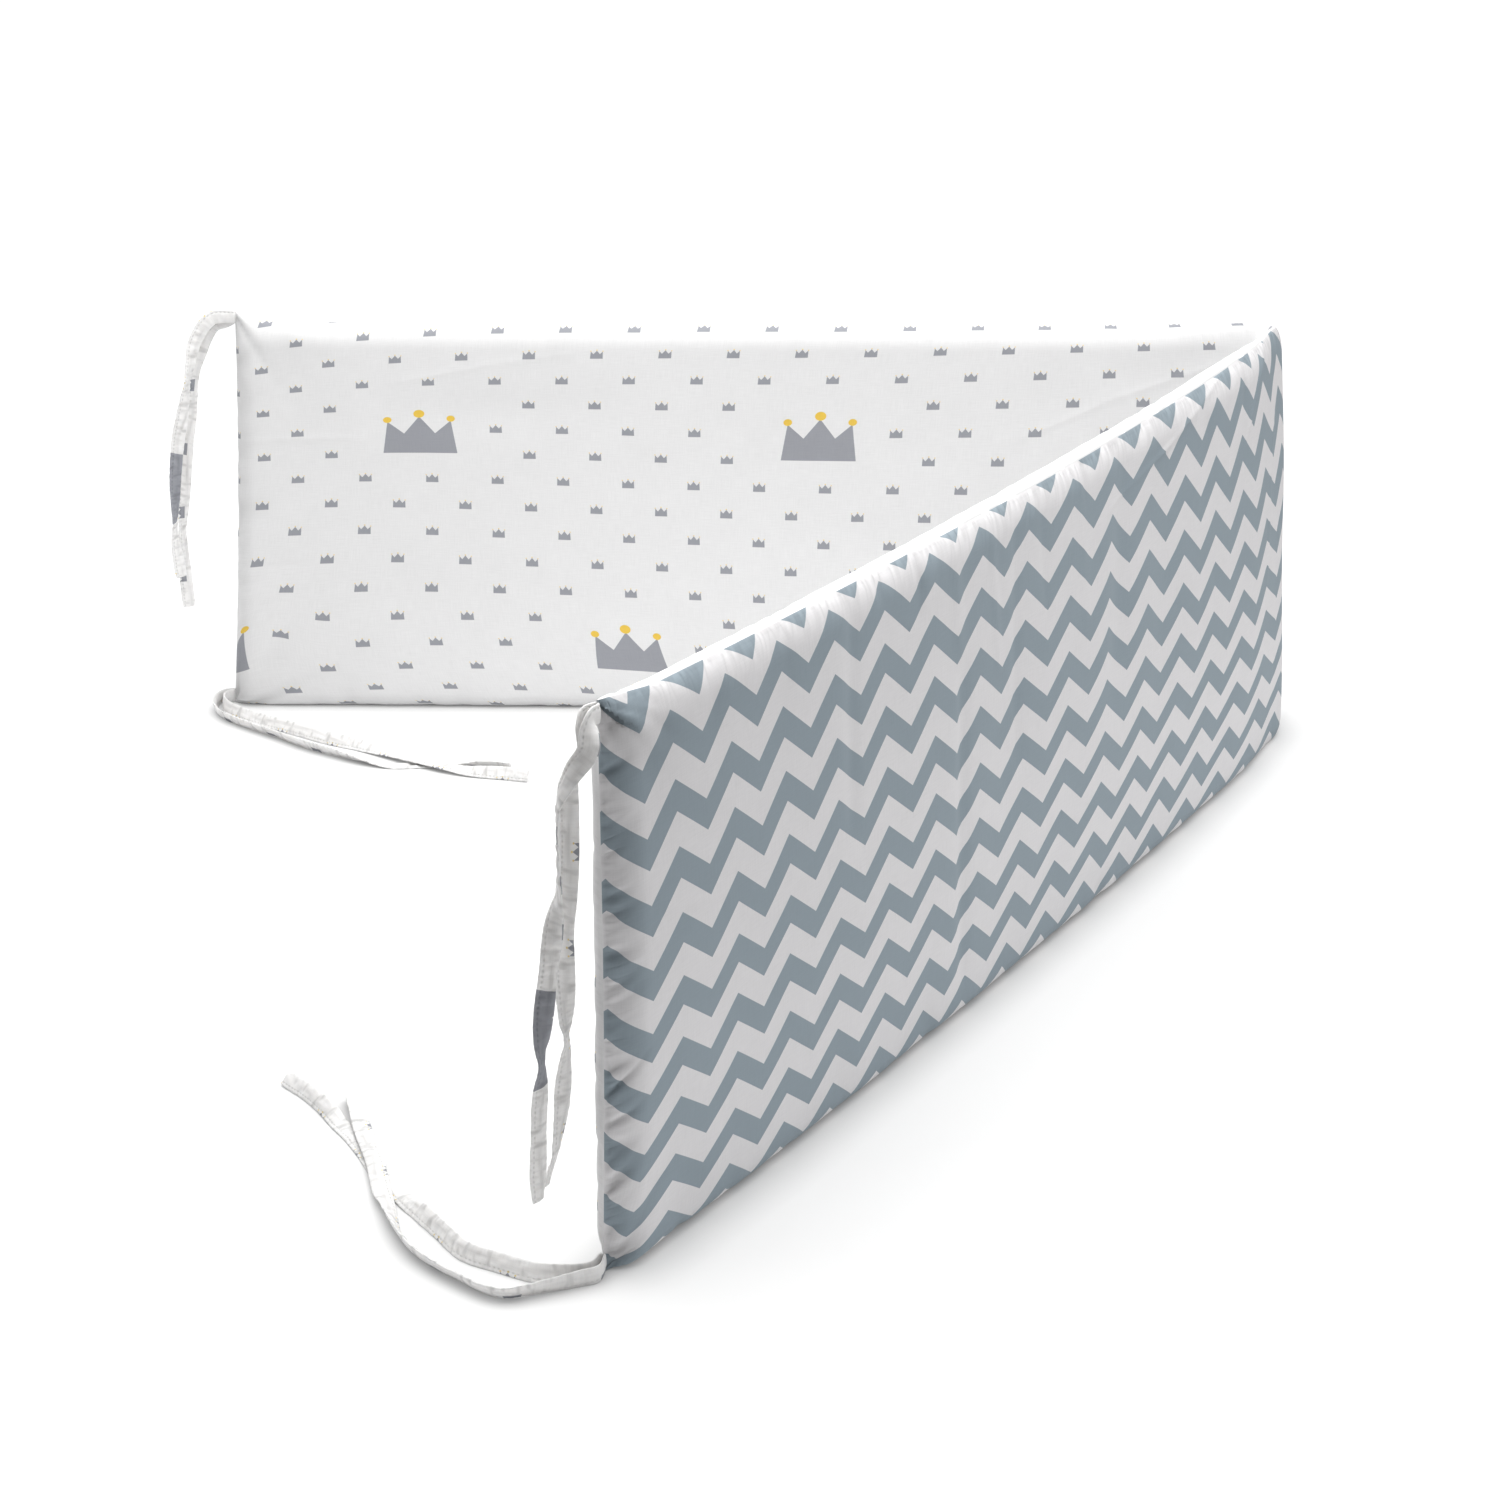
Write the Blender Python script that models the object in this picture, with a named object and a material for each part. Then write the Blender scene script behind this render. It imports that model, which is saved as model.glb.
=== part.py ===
"""A crib bumper: one long filled pad, folded into a V and standing on its long edge.

Two printed cottons are sewn together round the pad's edge, at mid thickness, and a
narrow strip is caught in the seam at each of the four end corners, so that two free
tails leave each corner. The far limb runs along X, behind; the near limb comes from
the fold at +X forward to the near end. The crown cloth faces into the V.

The frame's origin is on the floor, in the middle of the footprint: +X right,
+Y from the near end to the far limb, +Z up.
"""
import math

import bpy
from mathutils import Vector

# ---------------------------------------------------------------- driving sizes (m)
HEIGHT = 0.300            # floor to the top seam
EDGE = 0.0130             # half thickness along the seam, where the edge is fully round
CROWN = 0.0022            # how much fuller each face is at mid height
FLAT_ANGLE = 22.5         # part of the bottom edge's round that is pressed flat, degrees
FOLD_FULLNESS = 0.50      # thickness at the fold, as a share of the full one
FOLD_REACH = 0.055        # length over which the pad thins towards the fold
EAR_REACH = 0.020         # length of the pulled-up corners of the top seam
EAR_FAR = 0.007           # how far they stand up: at the far end, the near end, the fold
EAR_NEAR = 0.003
EAR_FOLD = 0.0015
NEAR_RISE = 0.0040        # how much higher the near limb's top stands in its middle
DRAW_IN = 0.0025          # how far each end's seam is drawn in at mid height
DRAW_REACH = 0.030
GAP = 0.0008              # between a tie and the middle of the sloping seam that holds it

STRIP_WIDTH = 0.0100      # a tie's strip
STRIP_THICKNESS = 0.0020  # turned and stitched, at its middle
TURN_RADIUS = 0.0014      # the strip's fold at the seam
STRIP_STEP = 0.0075       # spacing of a strip's sections
SEAT_SINK = 0.0003        # how far a strip's rounded underside is pressed flat
HIGH_TURN = HEIGHT - 0.0060     # height at which the near top tie's middle is caught
EAR_TURN = HEIGHT - 0.0030      # the far top tie's, under its pulled-up corner
LOW_TURN = 0.0060               # the bottom ties'

# The pad's bottom edge and top seam as plans. Each runs straight from the far end,
# turns right round the fold and follows the near limb, which bends slowly right.
# Columns: x and y of the far end, far limb's heading and length, the fold's radius,
# the heading after the fold, the near limb's length, its heading at the near end.
EDGE_LINES = {
    "bottom": (-0.3838, 0.4133, -1.0, 0.7533, 0.045, -120.3, 0.8651, -124.3),
    "top": (-0.3621, 0.4120, -0.8, 0.7507, 0.012, -115.4, 0.9063, -124.3),
}

# Soft dents in the faces. Columns: limb, distance from the fold, height, half length,
# half height, depth on the crown side, depth on the zigzag side.
DENTS = (
    ("near", 0.345, 0.210, 0.016, 0.080, 0.0000, 0.0030),
    ("near", 0.500, 0.160, 0.025, 0.060, 0.0010, 0.0020),
    ("near", 0.270, 0.180, 0.020, 0.070, 0.0000, 0.0018),
    ("near", 0.760, 0.120, 0.050, 0.035, 0.0015, 0.0015),
    ("near", 0.885, 0.150, 0.060, 0.400, 0.0030, 0.0000),
    ("far", 0.560, 0.235, 0.070, 0.018, 0.0015, 0.0000),
    ("far", 0.240, 0.130, 0.060, 0.030, 0.0018, 0.0010),
)

# Tails that hang from the top corners, root to tip, in mm. Columns: x, y, z, and the
# direction that the strip's flat side faces, in degrees from +X.
HANGING_TAILS = {
    "tie_far_top": (
        ((-371, 410, 304, -88), (-378, 409, 303, -80), (-385, 408, 297, -75),
         (-393, 406, 283, -62), (-396, 405, 270, -36), (-399.5, 405, 256, -14),
         (-402.5, 405, 243, -34), (-405.5, 405, 229, -58), (-409, 405, 215, -70),
         (-412, 405, 198, -60), (-414.5, 405, 179, -48), (-416, 405.5, 162, -28),
         (-417, 405, 148, -8), (-418, 405, 133, -24), (-417, 406, 117, -44),
         (-416, 407, 104, -50)),
        ((-369, 413, 300, 88), (-378, 415, 297, 84), (-384, 417, 290, 92),
         (-391, 418, 275, 108), (-395.5, 418, 263, 130), (-398, 418, 249, 150),
         (-400.5, 418, 236, 124), (-403, 418, 222, 98), (-406, 418, 205, 84),
         (-408.5, 418, 188, 92), (-411, 418, 170, 110), (-413, 418, 153, 138),
         (-414.5, 418, 137, 160), (-415, 418, 121, 148), (-415, 417, 103, 122),
         (-414, 416, 77, 112)),
    ),
    "tie_near_top": (
        ((-53.4, -407.6, 296.4, -33), (-54.3, -411.5, 292, -60), (-54.7, -415.2, 284, -85),
         (-61.3, -415.5, 274, -125), (-66, -413.5, 265, -150), (-69, -411, 256, -172),
         (-70, -410, 243, -180), (-70, -410, 226, -176), (-70.5, -409.5, 209, -160),
         (-73, -409, 194, -110), (-76, -409, 173, -62), (-79, -409, 149, -78),
         (-80.5, -409, 134, -46), (-81, -409, 122, -10), (-81.5, -408, 112, -30),
         (-82.5, -407.5, 101, -48), (-83.5, -407, 85, -44), (-84.5, -406, 62, -52),
         (-85, -405, 45, -32)),
        ((-57, -404.8, 296.4, 147), (-59, -407.3, 292, 165), (-59.5, -408.3, 284, 180),
         (-62, -407, 274, 152), (-65, -404, 263, 112), (-65.5, -401, 251, 96),
         (-66, -398, 225, 88), (-67.5, -397, 202, 76), (-69, -397, 186, 66),
         (-69.5, -397, 170, 84), (-69.5, -397, 154, 108), (-69.5, -397, 138, 146),
         (-69.5, -397, 130, 172), (-70.5, -397, 118, 150), (-72, -397, 102, 128),
         (-73.5, -397, 86, 142), (-76.5, -397, 67, 165), (-81, -397, 50, 172)),
    ),
}

# Tails that lie on the floor, root to tip, in mm. Columns: x, y, how far the tail is
# lifted off the floor, and its roll in degrees: 0 on edge, 90 flat.
FLOOR_TAILS = {
    "tie_far_bottom": (
        ((-389, 409, 0.8, 3), (-390, 402, 0.6, 8), (-386, 390, 0.2, 18), (-374, 377, 0, 30),
         (-355, 362, 0, 34), (-328, 344, 0, 30), (-297, 323, 0, 36),
         (-271, 310, 0, 52), (-249, 296, 1.8, 86), (-235, 286, 2.8, 90),
         (-219, 276, 2.8, 90), (-203, 267, 2.6, 88), (-187, 260, 0.8, 66),
         (-171, 255, 0, 40), (-158, 252, 0, 34), (-142, 247, 0, 30)),
        ((-391, 413, 0.8, 3), (-395, 405, 0.6, 8), (-395, 391, 0.2, 16), (-386, 373, 0, 26),
         (-365, 353, 0, 32), (-339, 333, 0, 36), (-315, 312, 0, 30),
         (-291, 296, 0, 34), (-267, 283, 0, 60), (-245, 276, 0, 90),
         (-221, 277, 0, 90), (-200, 280, 0, 86), (-177, 273, 0, 50),
         (-156, 266, 0, 34)),
    ),
    "tie_near_bottom": (
        ((-56, -408, 0.8, 3), (-67, -413, 0.6, 10), (-83, -419, 0.2, 22), (-103, -424, 0, 30),
         (-128, -407, 0, 34), (-148, -388, 0, 28), (-160, -368, 0, 26),
         (-168, -343, 0.4, 56), (-173, -328, 2.4, 86), (-177, -312, 2.8, 90),
         (-181, -296, 2.8, 90),
         (-189, -272, 2.8, 90), (-193, -259, 2.8, 90), (-197, -245, 1.4, 70),
         (-204, -224, 0, 44)),
        ((-60, -405, 0.8, 3), (-69, -408, 0.6, 8), (-85, -407, 0.2, 26), (-105, -397, 0, 38),
         (-124, -386, 0, 40), (-138, -367, 0, 36), (-152, -346, 0, 50),
         (-159, -335, 0, 76), (-166, -324, 0, 90), (-178, -304, 0, 90), (-189, -281, 0, 90),
         (-198, -265, 0, 90), (-206, -253, 0, 84), (-214, -241, 0, 52),
         (-228, -222, 0, 40), (-243, -205, 0, 50)),
    ),
}

# How finely the pad is divided
ROUND_STEPS = 4           # steps in each rounded edge
FAR_STEPS = 24
FOLD_STEPS = 10
NEAR_STEPS = 30
LEVEL_STEPS = 7           # levels between the rounded edges

# ---------------------------------------------------------------- materials
CROWN_COTTON = ("crown_cotton", (0.86, 0.86, 0.87, 1.0), 0.85)
TIE_COTTON = ("tie_cotton", (0.88, 0.87, 0.86, 1.0), 0.85)


def cloth_material(name, colour, roughness):
    """A matte cotton finish."""
    material = bpy.data.materials.new(name)
    material.use_nodes = True
    shader = material.node_tree.nodes["Principled BSDF"]
    shader.inputs["Base Color"].default_value = colour
    shader.inputs["Roughness"].default_value = roughness
    shader.inputs["Metallic"].default_value = 0.0
    return material


def add_object(name, points, faces, material):
    """One closed solid from its points and faces."""
    mesh = bpy.data.meshes.new(name)
    mesh.from_pydata([tuple(p) for p in points], [], faces)
    mesh.validate()
    mesh.update()
    mesh.shade_smooth()
    mesh.set_sharp_from_angle(angle=math.radians(50))
    mesh.materials.append(material)
    obj = bpy.data.objects.new(name, mesh)
    bpy.context.collection.objects.link(obj)
    return obj


# ---------------------------------------------------------------- the pad's path
def direction(heading):
    """The unit vector of a heading in radians, seen from above."""
    return Vector((math.cos(heading), math.sin(heading), 0.0))


def walk(start, heading, length, turn):
    """The point and heading after a length that turns evenly by an angle."""
    if abs(turn) < 1e-9:
        return start + direction(heading) * length, heading
    chord = length * math.sin(turn / 2) / (turn / 2)
    return start + direction(heading + turn / 2) * chord, heading + turn


def edge_point(level, limb, t):
    """A point and heading on the bottom edge or the top seam: limb far, fold or near."""
    x, y, far_deg, far, radius, fold_deg, near, end_deg = EDGE_LINES[level]
    start = Vector((x, y, 0.0))
    heading, fold_end, near_end = (math.radians(a) for a in (far_deg, fold_deg, end_deg))
    if limb == "far":
        return walk(start, heading, far * t, 0.0)
    start, heading = walk(start, heading, far, 0.0)
    bend = fold_end - heading
    if limb == "fold":
        return walk(start, heading, radius * abs(bend) * t, bend * t)
    start, heading = walk(start, heading, radius * abs(bend), bend)
    return walk(start, heading, near * t, (near_end - heading) * t)


def mean_length(limb):
    """A limb's length at mid height."""
    column = {"far": 3, "near": 6}[limb]
    return (EDGE_LINES["bottom"][column] + EDGE_LINES["top"][column]) / 2


def from_fold(limb, t):
    """Distance from the fold along a limb."""
    if limb == "far":
        return mean_length("far") * (1 - t)
    return mean_length("near") * t if limb == "near" else 0.0


def mid_surface(limb, t, z):
    """The pad's middle surface at a height, and its outward normal there."""
    v = min(max(z / HEIGHT, 0.0), 1.0)
    low, low_heading = edge_point("bottom", limb, t)
    high, high_heading = edge_point("top", limb, t)
    heading = low_heading * (1 - v) + high_heading * v
    point = low.lerp(high, v)
    far_gap = mean_length("far") * t if limb == "far" else 1.0
    near_gap = mean_length("near") * (1 - t) if limb == "near" else 1.0
    pulled = far_gap if far_gap < near_gap else -near_gap
    draw = DRAW_IN * math.sin(math.pi * v) * math.exp(-(pulled / DRAW_REACH) ** 2)
    point += direction(heading) * math.copysign(draw, pulled)
    away = from_fold(limb, t)
    lift = (EAR_FAR * math.exp(-(far_gap / EAR_REACH) ** 2)
            + EAR_NEAR * math.exp(-(near_gap / EAR_REACH) ** 2)
            + EAR_FOLD * math.exp(-(away / EAR_REACH) ** 2))
    if limb == "near":
        lift += NEAR_RISE * math.sin(math.pi * t)
    point.z = z + lift * max(0.0, (v - 0.75) / 0.25) ** 2
    return point, direction(heading + math.pi / 2)


def half_thickness(limb, t, z, side):
    """Half the pad's thickness away from its rounded edges, on one side."""
    away = from_fold(limb, t)
    fullness = 1 - (1 - FOLD_FULLNESS) * math.exp(-(away / FOLD_REACH) ** 2)
    depth = (EDGE + CROWN * math.sin(math.pi * min(max(z / HEIGHT, 0.0), 1.0))) * fullness
    for name, along, height, half_length, half_height, crown_depth, zigzag_depth in DENTS:
        if name != limb:
            continue
        fall = ((away - along) / half_length) ** 2 + ((z - height) / half_height) ** 2
        depth -= (zigzag_depth if side > 0 else crown_depth) * math.exp(-fall)
    return depth


def edge_rounding():
    """Steps across a rounded edge: distance from the seam and share of the thickness."""
    angles = [math.radians(90 * i / ROUND_STEPS) for i in range(ROUND_STEPS)]
    return [(EDGE * (1 - math.cos(a)), math.sin(a)) for a in angles]


def pad_levels():
    """Heights from the floor to the top seam, each with its share of the thickness."""
    pressed = EDGE * (1 - math.cos(math.radians(FLAT_ANGLE)))
    bottom = [(max(0.0, inset - pressed), share) for inset, share in edge_rounding()]
    top = [(HEIGHT - inset, share) for inset, share in reversed(edge_rounding())]
    low, high = EDGE - pressed, HEIGHT - EDGE
    middle = [(low + (high - low) * i / LEVEL_STEPS, 1.0) for i in range(LEVEL_STEPS + 1)]
    return bottom + middle + top


def pad_stations():
    """Places along the pad from the far end to the near end, each with its thickness share."""
    far, near = mean_length("far"), mean_length("near")
    stations = [("far", inset / far, share) for inset, share in edge_rounding()]
    first = EDGE / far
    stations += [("far", first + (1 - first) * i / FAR_STEPS, 1.0) for i in range(FAR_STEPS)]
    stations += [("fold", i / FOLD_STEPS, 1.0) for i in range(FOLD_STEPS)]
    last = 1 - EDGE / near
    stations += [("near", last * i / NEAR_STEPS, 1.0) for i in range(NEAR_STEPS + 1)]
    stations += [("near", 1 - inset / near, share) for inset, share in reversed(edge_rounding())]
    return stations


def build_pad(material):
    """The filled pad: two faces that meet in the seam all the way round."""
    stations, levels = pad_stations(), pad_levels()
    rows, columns = len(stations), len(levels)
    points, index = [], {}
    for i, (limb, t, end_share) in enumerate(stations):
        for j, (z, share) in enumerate(levels):
            middle, outward = mid_surface(limb, t, z)
            on_seam = i in (0, rows - 1) or j in (0, columns - 1)
            for side in (-1, 1):
                if on_seam and side > 0:
                    index[i, j, side] = index[i, j, -1]
                    continue
                index[i, j, side] = len(points)
                depth = 0.0 if on_seam else half_thickness(limb, t, z, side) * share * end_share
                points.append(middle + outward * side * depth)
    faces = []
    for i in range(rows - 1):
        for j in range(columns - 1):
            for side in (-1, 1):
                loop = [index[i, j, side], index[i + 1, j, side],
                        index[i + 1, j + 1, side], index[i, j + 1, side]]
                faces.append(loop if side < 0 else loop[::-1])
    return add_object("pad", points, faces, material)


# ---------------------------------------------------------------- the ties
def smooth_route(rows, step):
    """Centripetal Catmull-Rom through rows of numbers, the first three a place."""
    ends = [[2 * a - b for a, b in zip(rows[0], rows[1])]]
    tail = [[2 * a - b for a, b in zip(rows[-1], rows[-2])]]
    knots = ends + [list(r) for r in rows] + tail

    def mix(a, b, ta, tb, t):
        return [(x * (tb - t) + y * (t - ta)) / (tb - ta) for x, y in zip(a, b)]

    route = []
    for p0, p1, p2, p3 in zip(knots, knots[1:], knots[2:], knots[3:]):
        times = [0.0]
        for a, b in ((p0, p1), (p1, p2), (p2, p3)):
            times.append(times[-1] + math.sqrt(max(math.dist(a[:3], b[:3]), 1e-6)))
        t0, t1, t2, t3 = times
        count = max(1, round(math.dist(p1[:3], p2[:3]) / step))
        for k in range(count):
            t = t1 + (t2 - t1) * k / count
            a = mix(p0, p1, t0, t1, t)
            b = mix(p1, p2, t1, t2, t)
            c = mix(p2, p3, t2, t3, t)
            route.append(mix(mix(a, b, t0, t2, t), mix(b, c, t1, t3, t), t1, t2, t))
    route.append(list(rows[-1]))
    return route


def strip_turn(limb, height):
    """The strip's fold at the seam: places, and the side that it faces at each."""
    seam, outward = mid_surface(limb, 0.0 if limb == "far" else 1.0, height)
    along = Vector((outward.y, -outward.x, 0.0))
    into = along if limb == "far" else -along
    centre = seam - into * (GAP + TURN_RADIUS + STRIP_THICKNESS / 2)
    heading = math.atan2(into.y, into.x)
    turns = (-90, -45, 0, 45, 90)
    return [(centre + direction(heading + math.radians(a)) * TURN_RADIUS,
             math.degrees(heading) + a) for a in turns]


def hanging_rows(name, limb, height):
    """A hanging tie from one tip to the other: x, y, z, the side that it faces."""
    front, back = HANGING_TAILS[name]
    rows = [(x / 1000, y / 1000, z / 1000, facing) for x, y, z, facing in reversed(front)]
    rows += [(*place, facing) for place, facing in strip_turn(limb, height)]
    rows += [(x / 1000, y / 1000, z / 1000, facing) for x, y, z, facing in back]
    return rows


def floor_rows(name, limb, height):
    """A tie on the floor from one tip to the other: x, y, height of its middle, roll."""
    def settled(x, y, lift, roll):
        lean = math.radians(roll)
        rest = STRIP_WIDTH / 2 * math.cos(lean) + STRIP_THICKNESS / 2 * math.sin(lean)
        return x / 1000, y / 1000, rest - SEAT_SINK + lift / 1000, roll

    first, second = FLOOR_TAILS[name]
    rows = [settled(*row) for row in reversed(first)]
    rows += [(place.x, place.y, height, 0.0) for place, _ in strip_turn(limb, height)]
    rows += [settled(*row) for row in second]
    return rows


def strip_frames(route, on_floor):
    """For each place on a route: the strip's width direction and its flat side's normal."""
    places = [Vector(row[:3]) for row in route]
    frames = []
    for i, row in enumerate(route):
        along = (places[min(i + 1, len(places) - 1)] - places[max(i - 1, 0)]).normalized()
        if on_floor:
            left = Vector((-along.y, along.x, 0.0)).normalized()
            roll = math.radians(row[3])
            facing = left * math.cos(roll) + Vector((0, 0, 1)) * math.sin(roll)
        else:
            facing = direction(math.radians(row[3]))
        normal = (facing - along * facing.dot(along)).normalized()
        frames.append((places[i], normal.cross(along), normal))
    return frames


def build_tie(name, rows, on_floor, material):
    """One strip, thicker at its middle, swept along its route and closed at both tips."""
    section = ((-0.5, 0.0), (-0.25, -0.5), (0.25, -0.5), (0.5, 0.0), (0.25, 0.5), (-0.25, 0.5))
    points, faces = [], []
    frames = strip_frames(smooth_route(rows, STRIP_STEP), on_floor)
    for place, across, normal in frames:
        for a, b in section:
            point = place + across * a * STRIP_WIDTH + normal * b * STRIP_THICKNESS
            point.z = max(point.z, 0.0)
            points.append(point)
    count = len(section)
    for i in range(len(frames) - 1):
        for k in range(count):
            a, b = i * count + k, i * count + (k + 1) % count
            faces.append((a, b, b + count, a + count))
    faces.append(tuple(range(count))[::-1])
    faces.append(tuple(range(len(points) - count, len(points))))
    return add_object(name, points, faces, material)


def main():
    for obj in list(bpy.data.objects):
        bpy.data.objects.remove(obj)
    crown_cotton = cloth_material(*CROWN_COTTON)
    tie_cotton = cloth_material(*TIE_COTTON)
    build_pad(crown_cotton)
    for name, limb, height in (("tie_far_top", "far", EAR_TURN), ("tie_near_top", "near", HIGH_TURN)):
        build_tie(name, hanging_rows(name, limb, height), False, tie_cotton)
    for name, limb in (("tie_far_bottom", "far"), ("tie_near_bottom", "near")):
        build_tie(name, floor_rows(name, limb, LOW_TURN), True, tie_cotton)


main()
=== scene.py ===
"""Looks of the crib bumper: two printed cotton covers, four ties, a white studio.

Everything is in metres in the CAD's own frame: the origin is on the floor in the
middle of the footprint, +X right, +Y from the near end to the far limb, +Z up.
The pad's and the ties' driving sizes are those of the CAD source.
"""
import math

import bpy
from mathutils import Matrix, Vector, noise


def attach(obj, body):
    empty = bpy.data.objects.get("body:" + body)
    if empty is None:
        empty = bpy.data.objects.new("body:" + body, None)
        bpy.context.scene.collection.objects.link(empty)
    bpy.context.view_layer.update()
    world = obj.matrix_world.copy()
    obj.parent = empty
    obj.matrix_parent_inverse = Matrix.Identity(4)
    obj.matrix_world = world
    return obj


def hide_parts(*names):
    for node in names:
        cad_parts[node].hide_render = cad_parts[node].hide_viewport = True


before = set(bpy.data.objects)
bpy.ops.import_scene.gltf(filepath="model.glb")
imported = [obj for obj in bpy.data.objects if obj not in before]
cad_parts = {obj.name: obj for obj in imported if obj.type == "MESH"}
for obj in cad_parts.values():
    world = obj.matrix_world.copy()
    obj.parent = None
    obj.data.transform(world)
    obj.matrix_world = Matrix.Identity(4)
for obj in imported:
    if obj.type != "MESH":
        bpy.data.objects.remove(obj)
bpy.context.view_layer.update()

# ---------------------------------------------------------------- the CAD's sizes (m)
HEIGHT = 0.300            # floor to the top seam
EDGE = 0.0130             # half thickness along the seam, where the edge is fully round
CROWN = 0.0022            # how much fuller each face is at mid height
FLAT_ANGLE = 22.5         # part of the bottom edge's round that is pressed flat, degrees
FOLD_FULLNESS = 0.50      # thickness at the fold, as a share of the full one
FOLD_REACH = 0.055
EAR_REACH = 0.020         # the pulled-up corners of the top seam
EAR_FAR = 0.007
EAR_NEAR = 0.003
EAR_FOLD = 0.0015
NEAR_RISE = 0.0040        # how much higher the near limb's top stands in its middle
DRAW_IN = 0.0025          # how far each end's seam is drawn in at mid height
DRAW_REACH = 0.030
FOLD_TURN = 117           # how far the pad turns at the fold, degrees
EAR_START = 0.75          # share of the height above which the corners are pulled up
STRIP_WIDTH = 0.0100      # a tie
STRIP_THICKNESS = 0.0020
TURN_RADIUS = 0.0014      # of a tie's fold at the seam
SEAT_SINK = 0.0003        # how much of a floor tie's edge is pressed flat
HIGH_TURN = HEIGHT - 0.0060     # height at which the near top tie's middle is caught
EAR_TURN = HEIGHT - 0.0030      # the far top tie's, under its pulled-up corner
LOW_TURN = 0.0060               # the bottom ties'

# Columns: x and y of the far end, far limb's heading and length, the fold's radius,
# the heading after the fold, the near limb's length, its heading at the near end.
EDGE_LINES = {
    "bottom": (-0.3838, 0.4133, -1.0, 0.7533, 0.045, -120.3, 0.8651, -124.3),
    "top": (-0.3621, 0.4120, -0.8, 0.7507, 0.012, -115.4, 0.9063, -124.3),
}

# Each limb's soft dips. Columns: distance from the fold, height, half length, half height,
# depth on the crown side, depth on the zigzag side.
DENTS = {
    "near": ((0.345, 0.210, 0.016, 0.080, 0.0000, 0.0030),
             (0.500, 0.160, 0.025, 0.060, 0.0010, 0.0020),
             (0.270, 0.180, 0.020, 0.070, 0.0000, 0.0018),
             (0.760, 0.120, 0.050, 0.035, 0.0015, 0.0015),
             (0.885, 0.150, 0.060, 0.400, 0.0030, 0.0000)),
    "fold": (),
    "far": ((0.560, 0.235, 0.070, 0.018, 0.0015, 0.0000),
            (0.240, 0.130, 0.060, 0.030, 0.0018, 0.0010)),
}

# Tails that hang from the top corners, root to tip, in mm. Columns: x, y, z, and the
# direction that the strip's flat side faces, in degrees from +X.
HANGING_TAILS = {
    "tie_far_top": (
        ((-371, 410, 304, -88), (-378, 409, 303, -80), (-385, 408, 297, -75), (-393, 406, 283, -62),
         (-396, 405, 270, -36), (-399.5, 405, 256, -14), (-402.5, 405, 243, -34),
         (-405.5, 405, 229, -58), (-409, 405, 215, -70), (-412, 405, 198, -60),
         (-414.5, 405, 179, -48), (-416, 405.5, 162, -28), (-417, 405, 148, -8),
         (-418, 405, 133, -24), (-417, 406, 117, -44), (-416, 407, 104, -50)),
        ((-369, 413, 300, 88), (-378, 415, 297, 84), (-384, 417, 290, 92), (-391, 418, 275, 108),
         (-395.5, 418, 263, 130), (-398, 418, 249, 150), (-400.5, 418, 236, 124),
         (-403, 418, 222, 98), (-406, 418, 205, 84), (-408.5, 418, 188, 92), (-411, 418, 170, 110),
         (-413, 418, 153, 138), (-414.5, 418, 137, 160), (-415, 418, 121, 148),
         (-415, 417, 103, 122), (-414, 416, 77, 112))),
    "tie_near_top": (
        ((-53.4, -407.6, 296.4, -33), (-54.3, -411.5, 292, -60), (-54.7, -415.2, 284, -85),
         (-61.3, -415.5, 274, -125), (-66, -413.5, 265, -150), (-69, -411, 256, -172),
         (-70, -410, 243, -180), (-70, -410, 226, -176), (-70.5, -409.5, 209, -160),
         (-73, -409, 194, -110), (-76, -409, 173, -62), (-79, -409, 149, -78),
         (-80.5, -409, 134, -46), (-81, -409, 122, -10), (-81.5, -408, 112, -30),
         (-82.5, -407.5, 101, -48), (-83.5, -407, 85, -44), (-84.5, -406, 62, -52),
         (-85, -405, 45, -32)),
        ((-57, -404.8, 296.4, 147), (-59, -407.3, 292, 165), (-59.5, -408.3, 284, 180),
         (-62, -407, 274, 152), (-65, -404, 263, 112), (-65.5, -401, 251, 96), (-66, -398, 225, 88),
         (-67.5, -397, 202, 76), (-69, -397, 186, 66), (-69.5, -397, 170, 84),
         (-69.5, -397, 154, 108), (-69.5, -397, 138, 146), (-69.5, -397, 130, 172),
         (-70.5, -397, 118, 150), (-72, -397, 102, 128), (-73.5, -397, 86, 142),
         (-76.5, -397, 67, 165), (-81, -397, 50, 172))),
}

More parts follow.
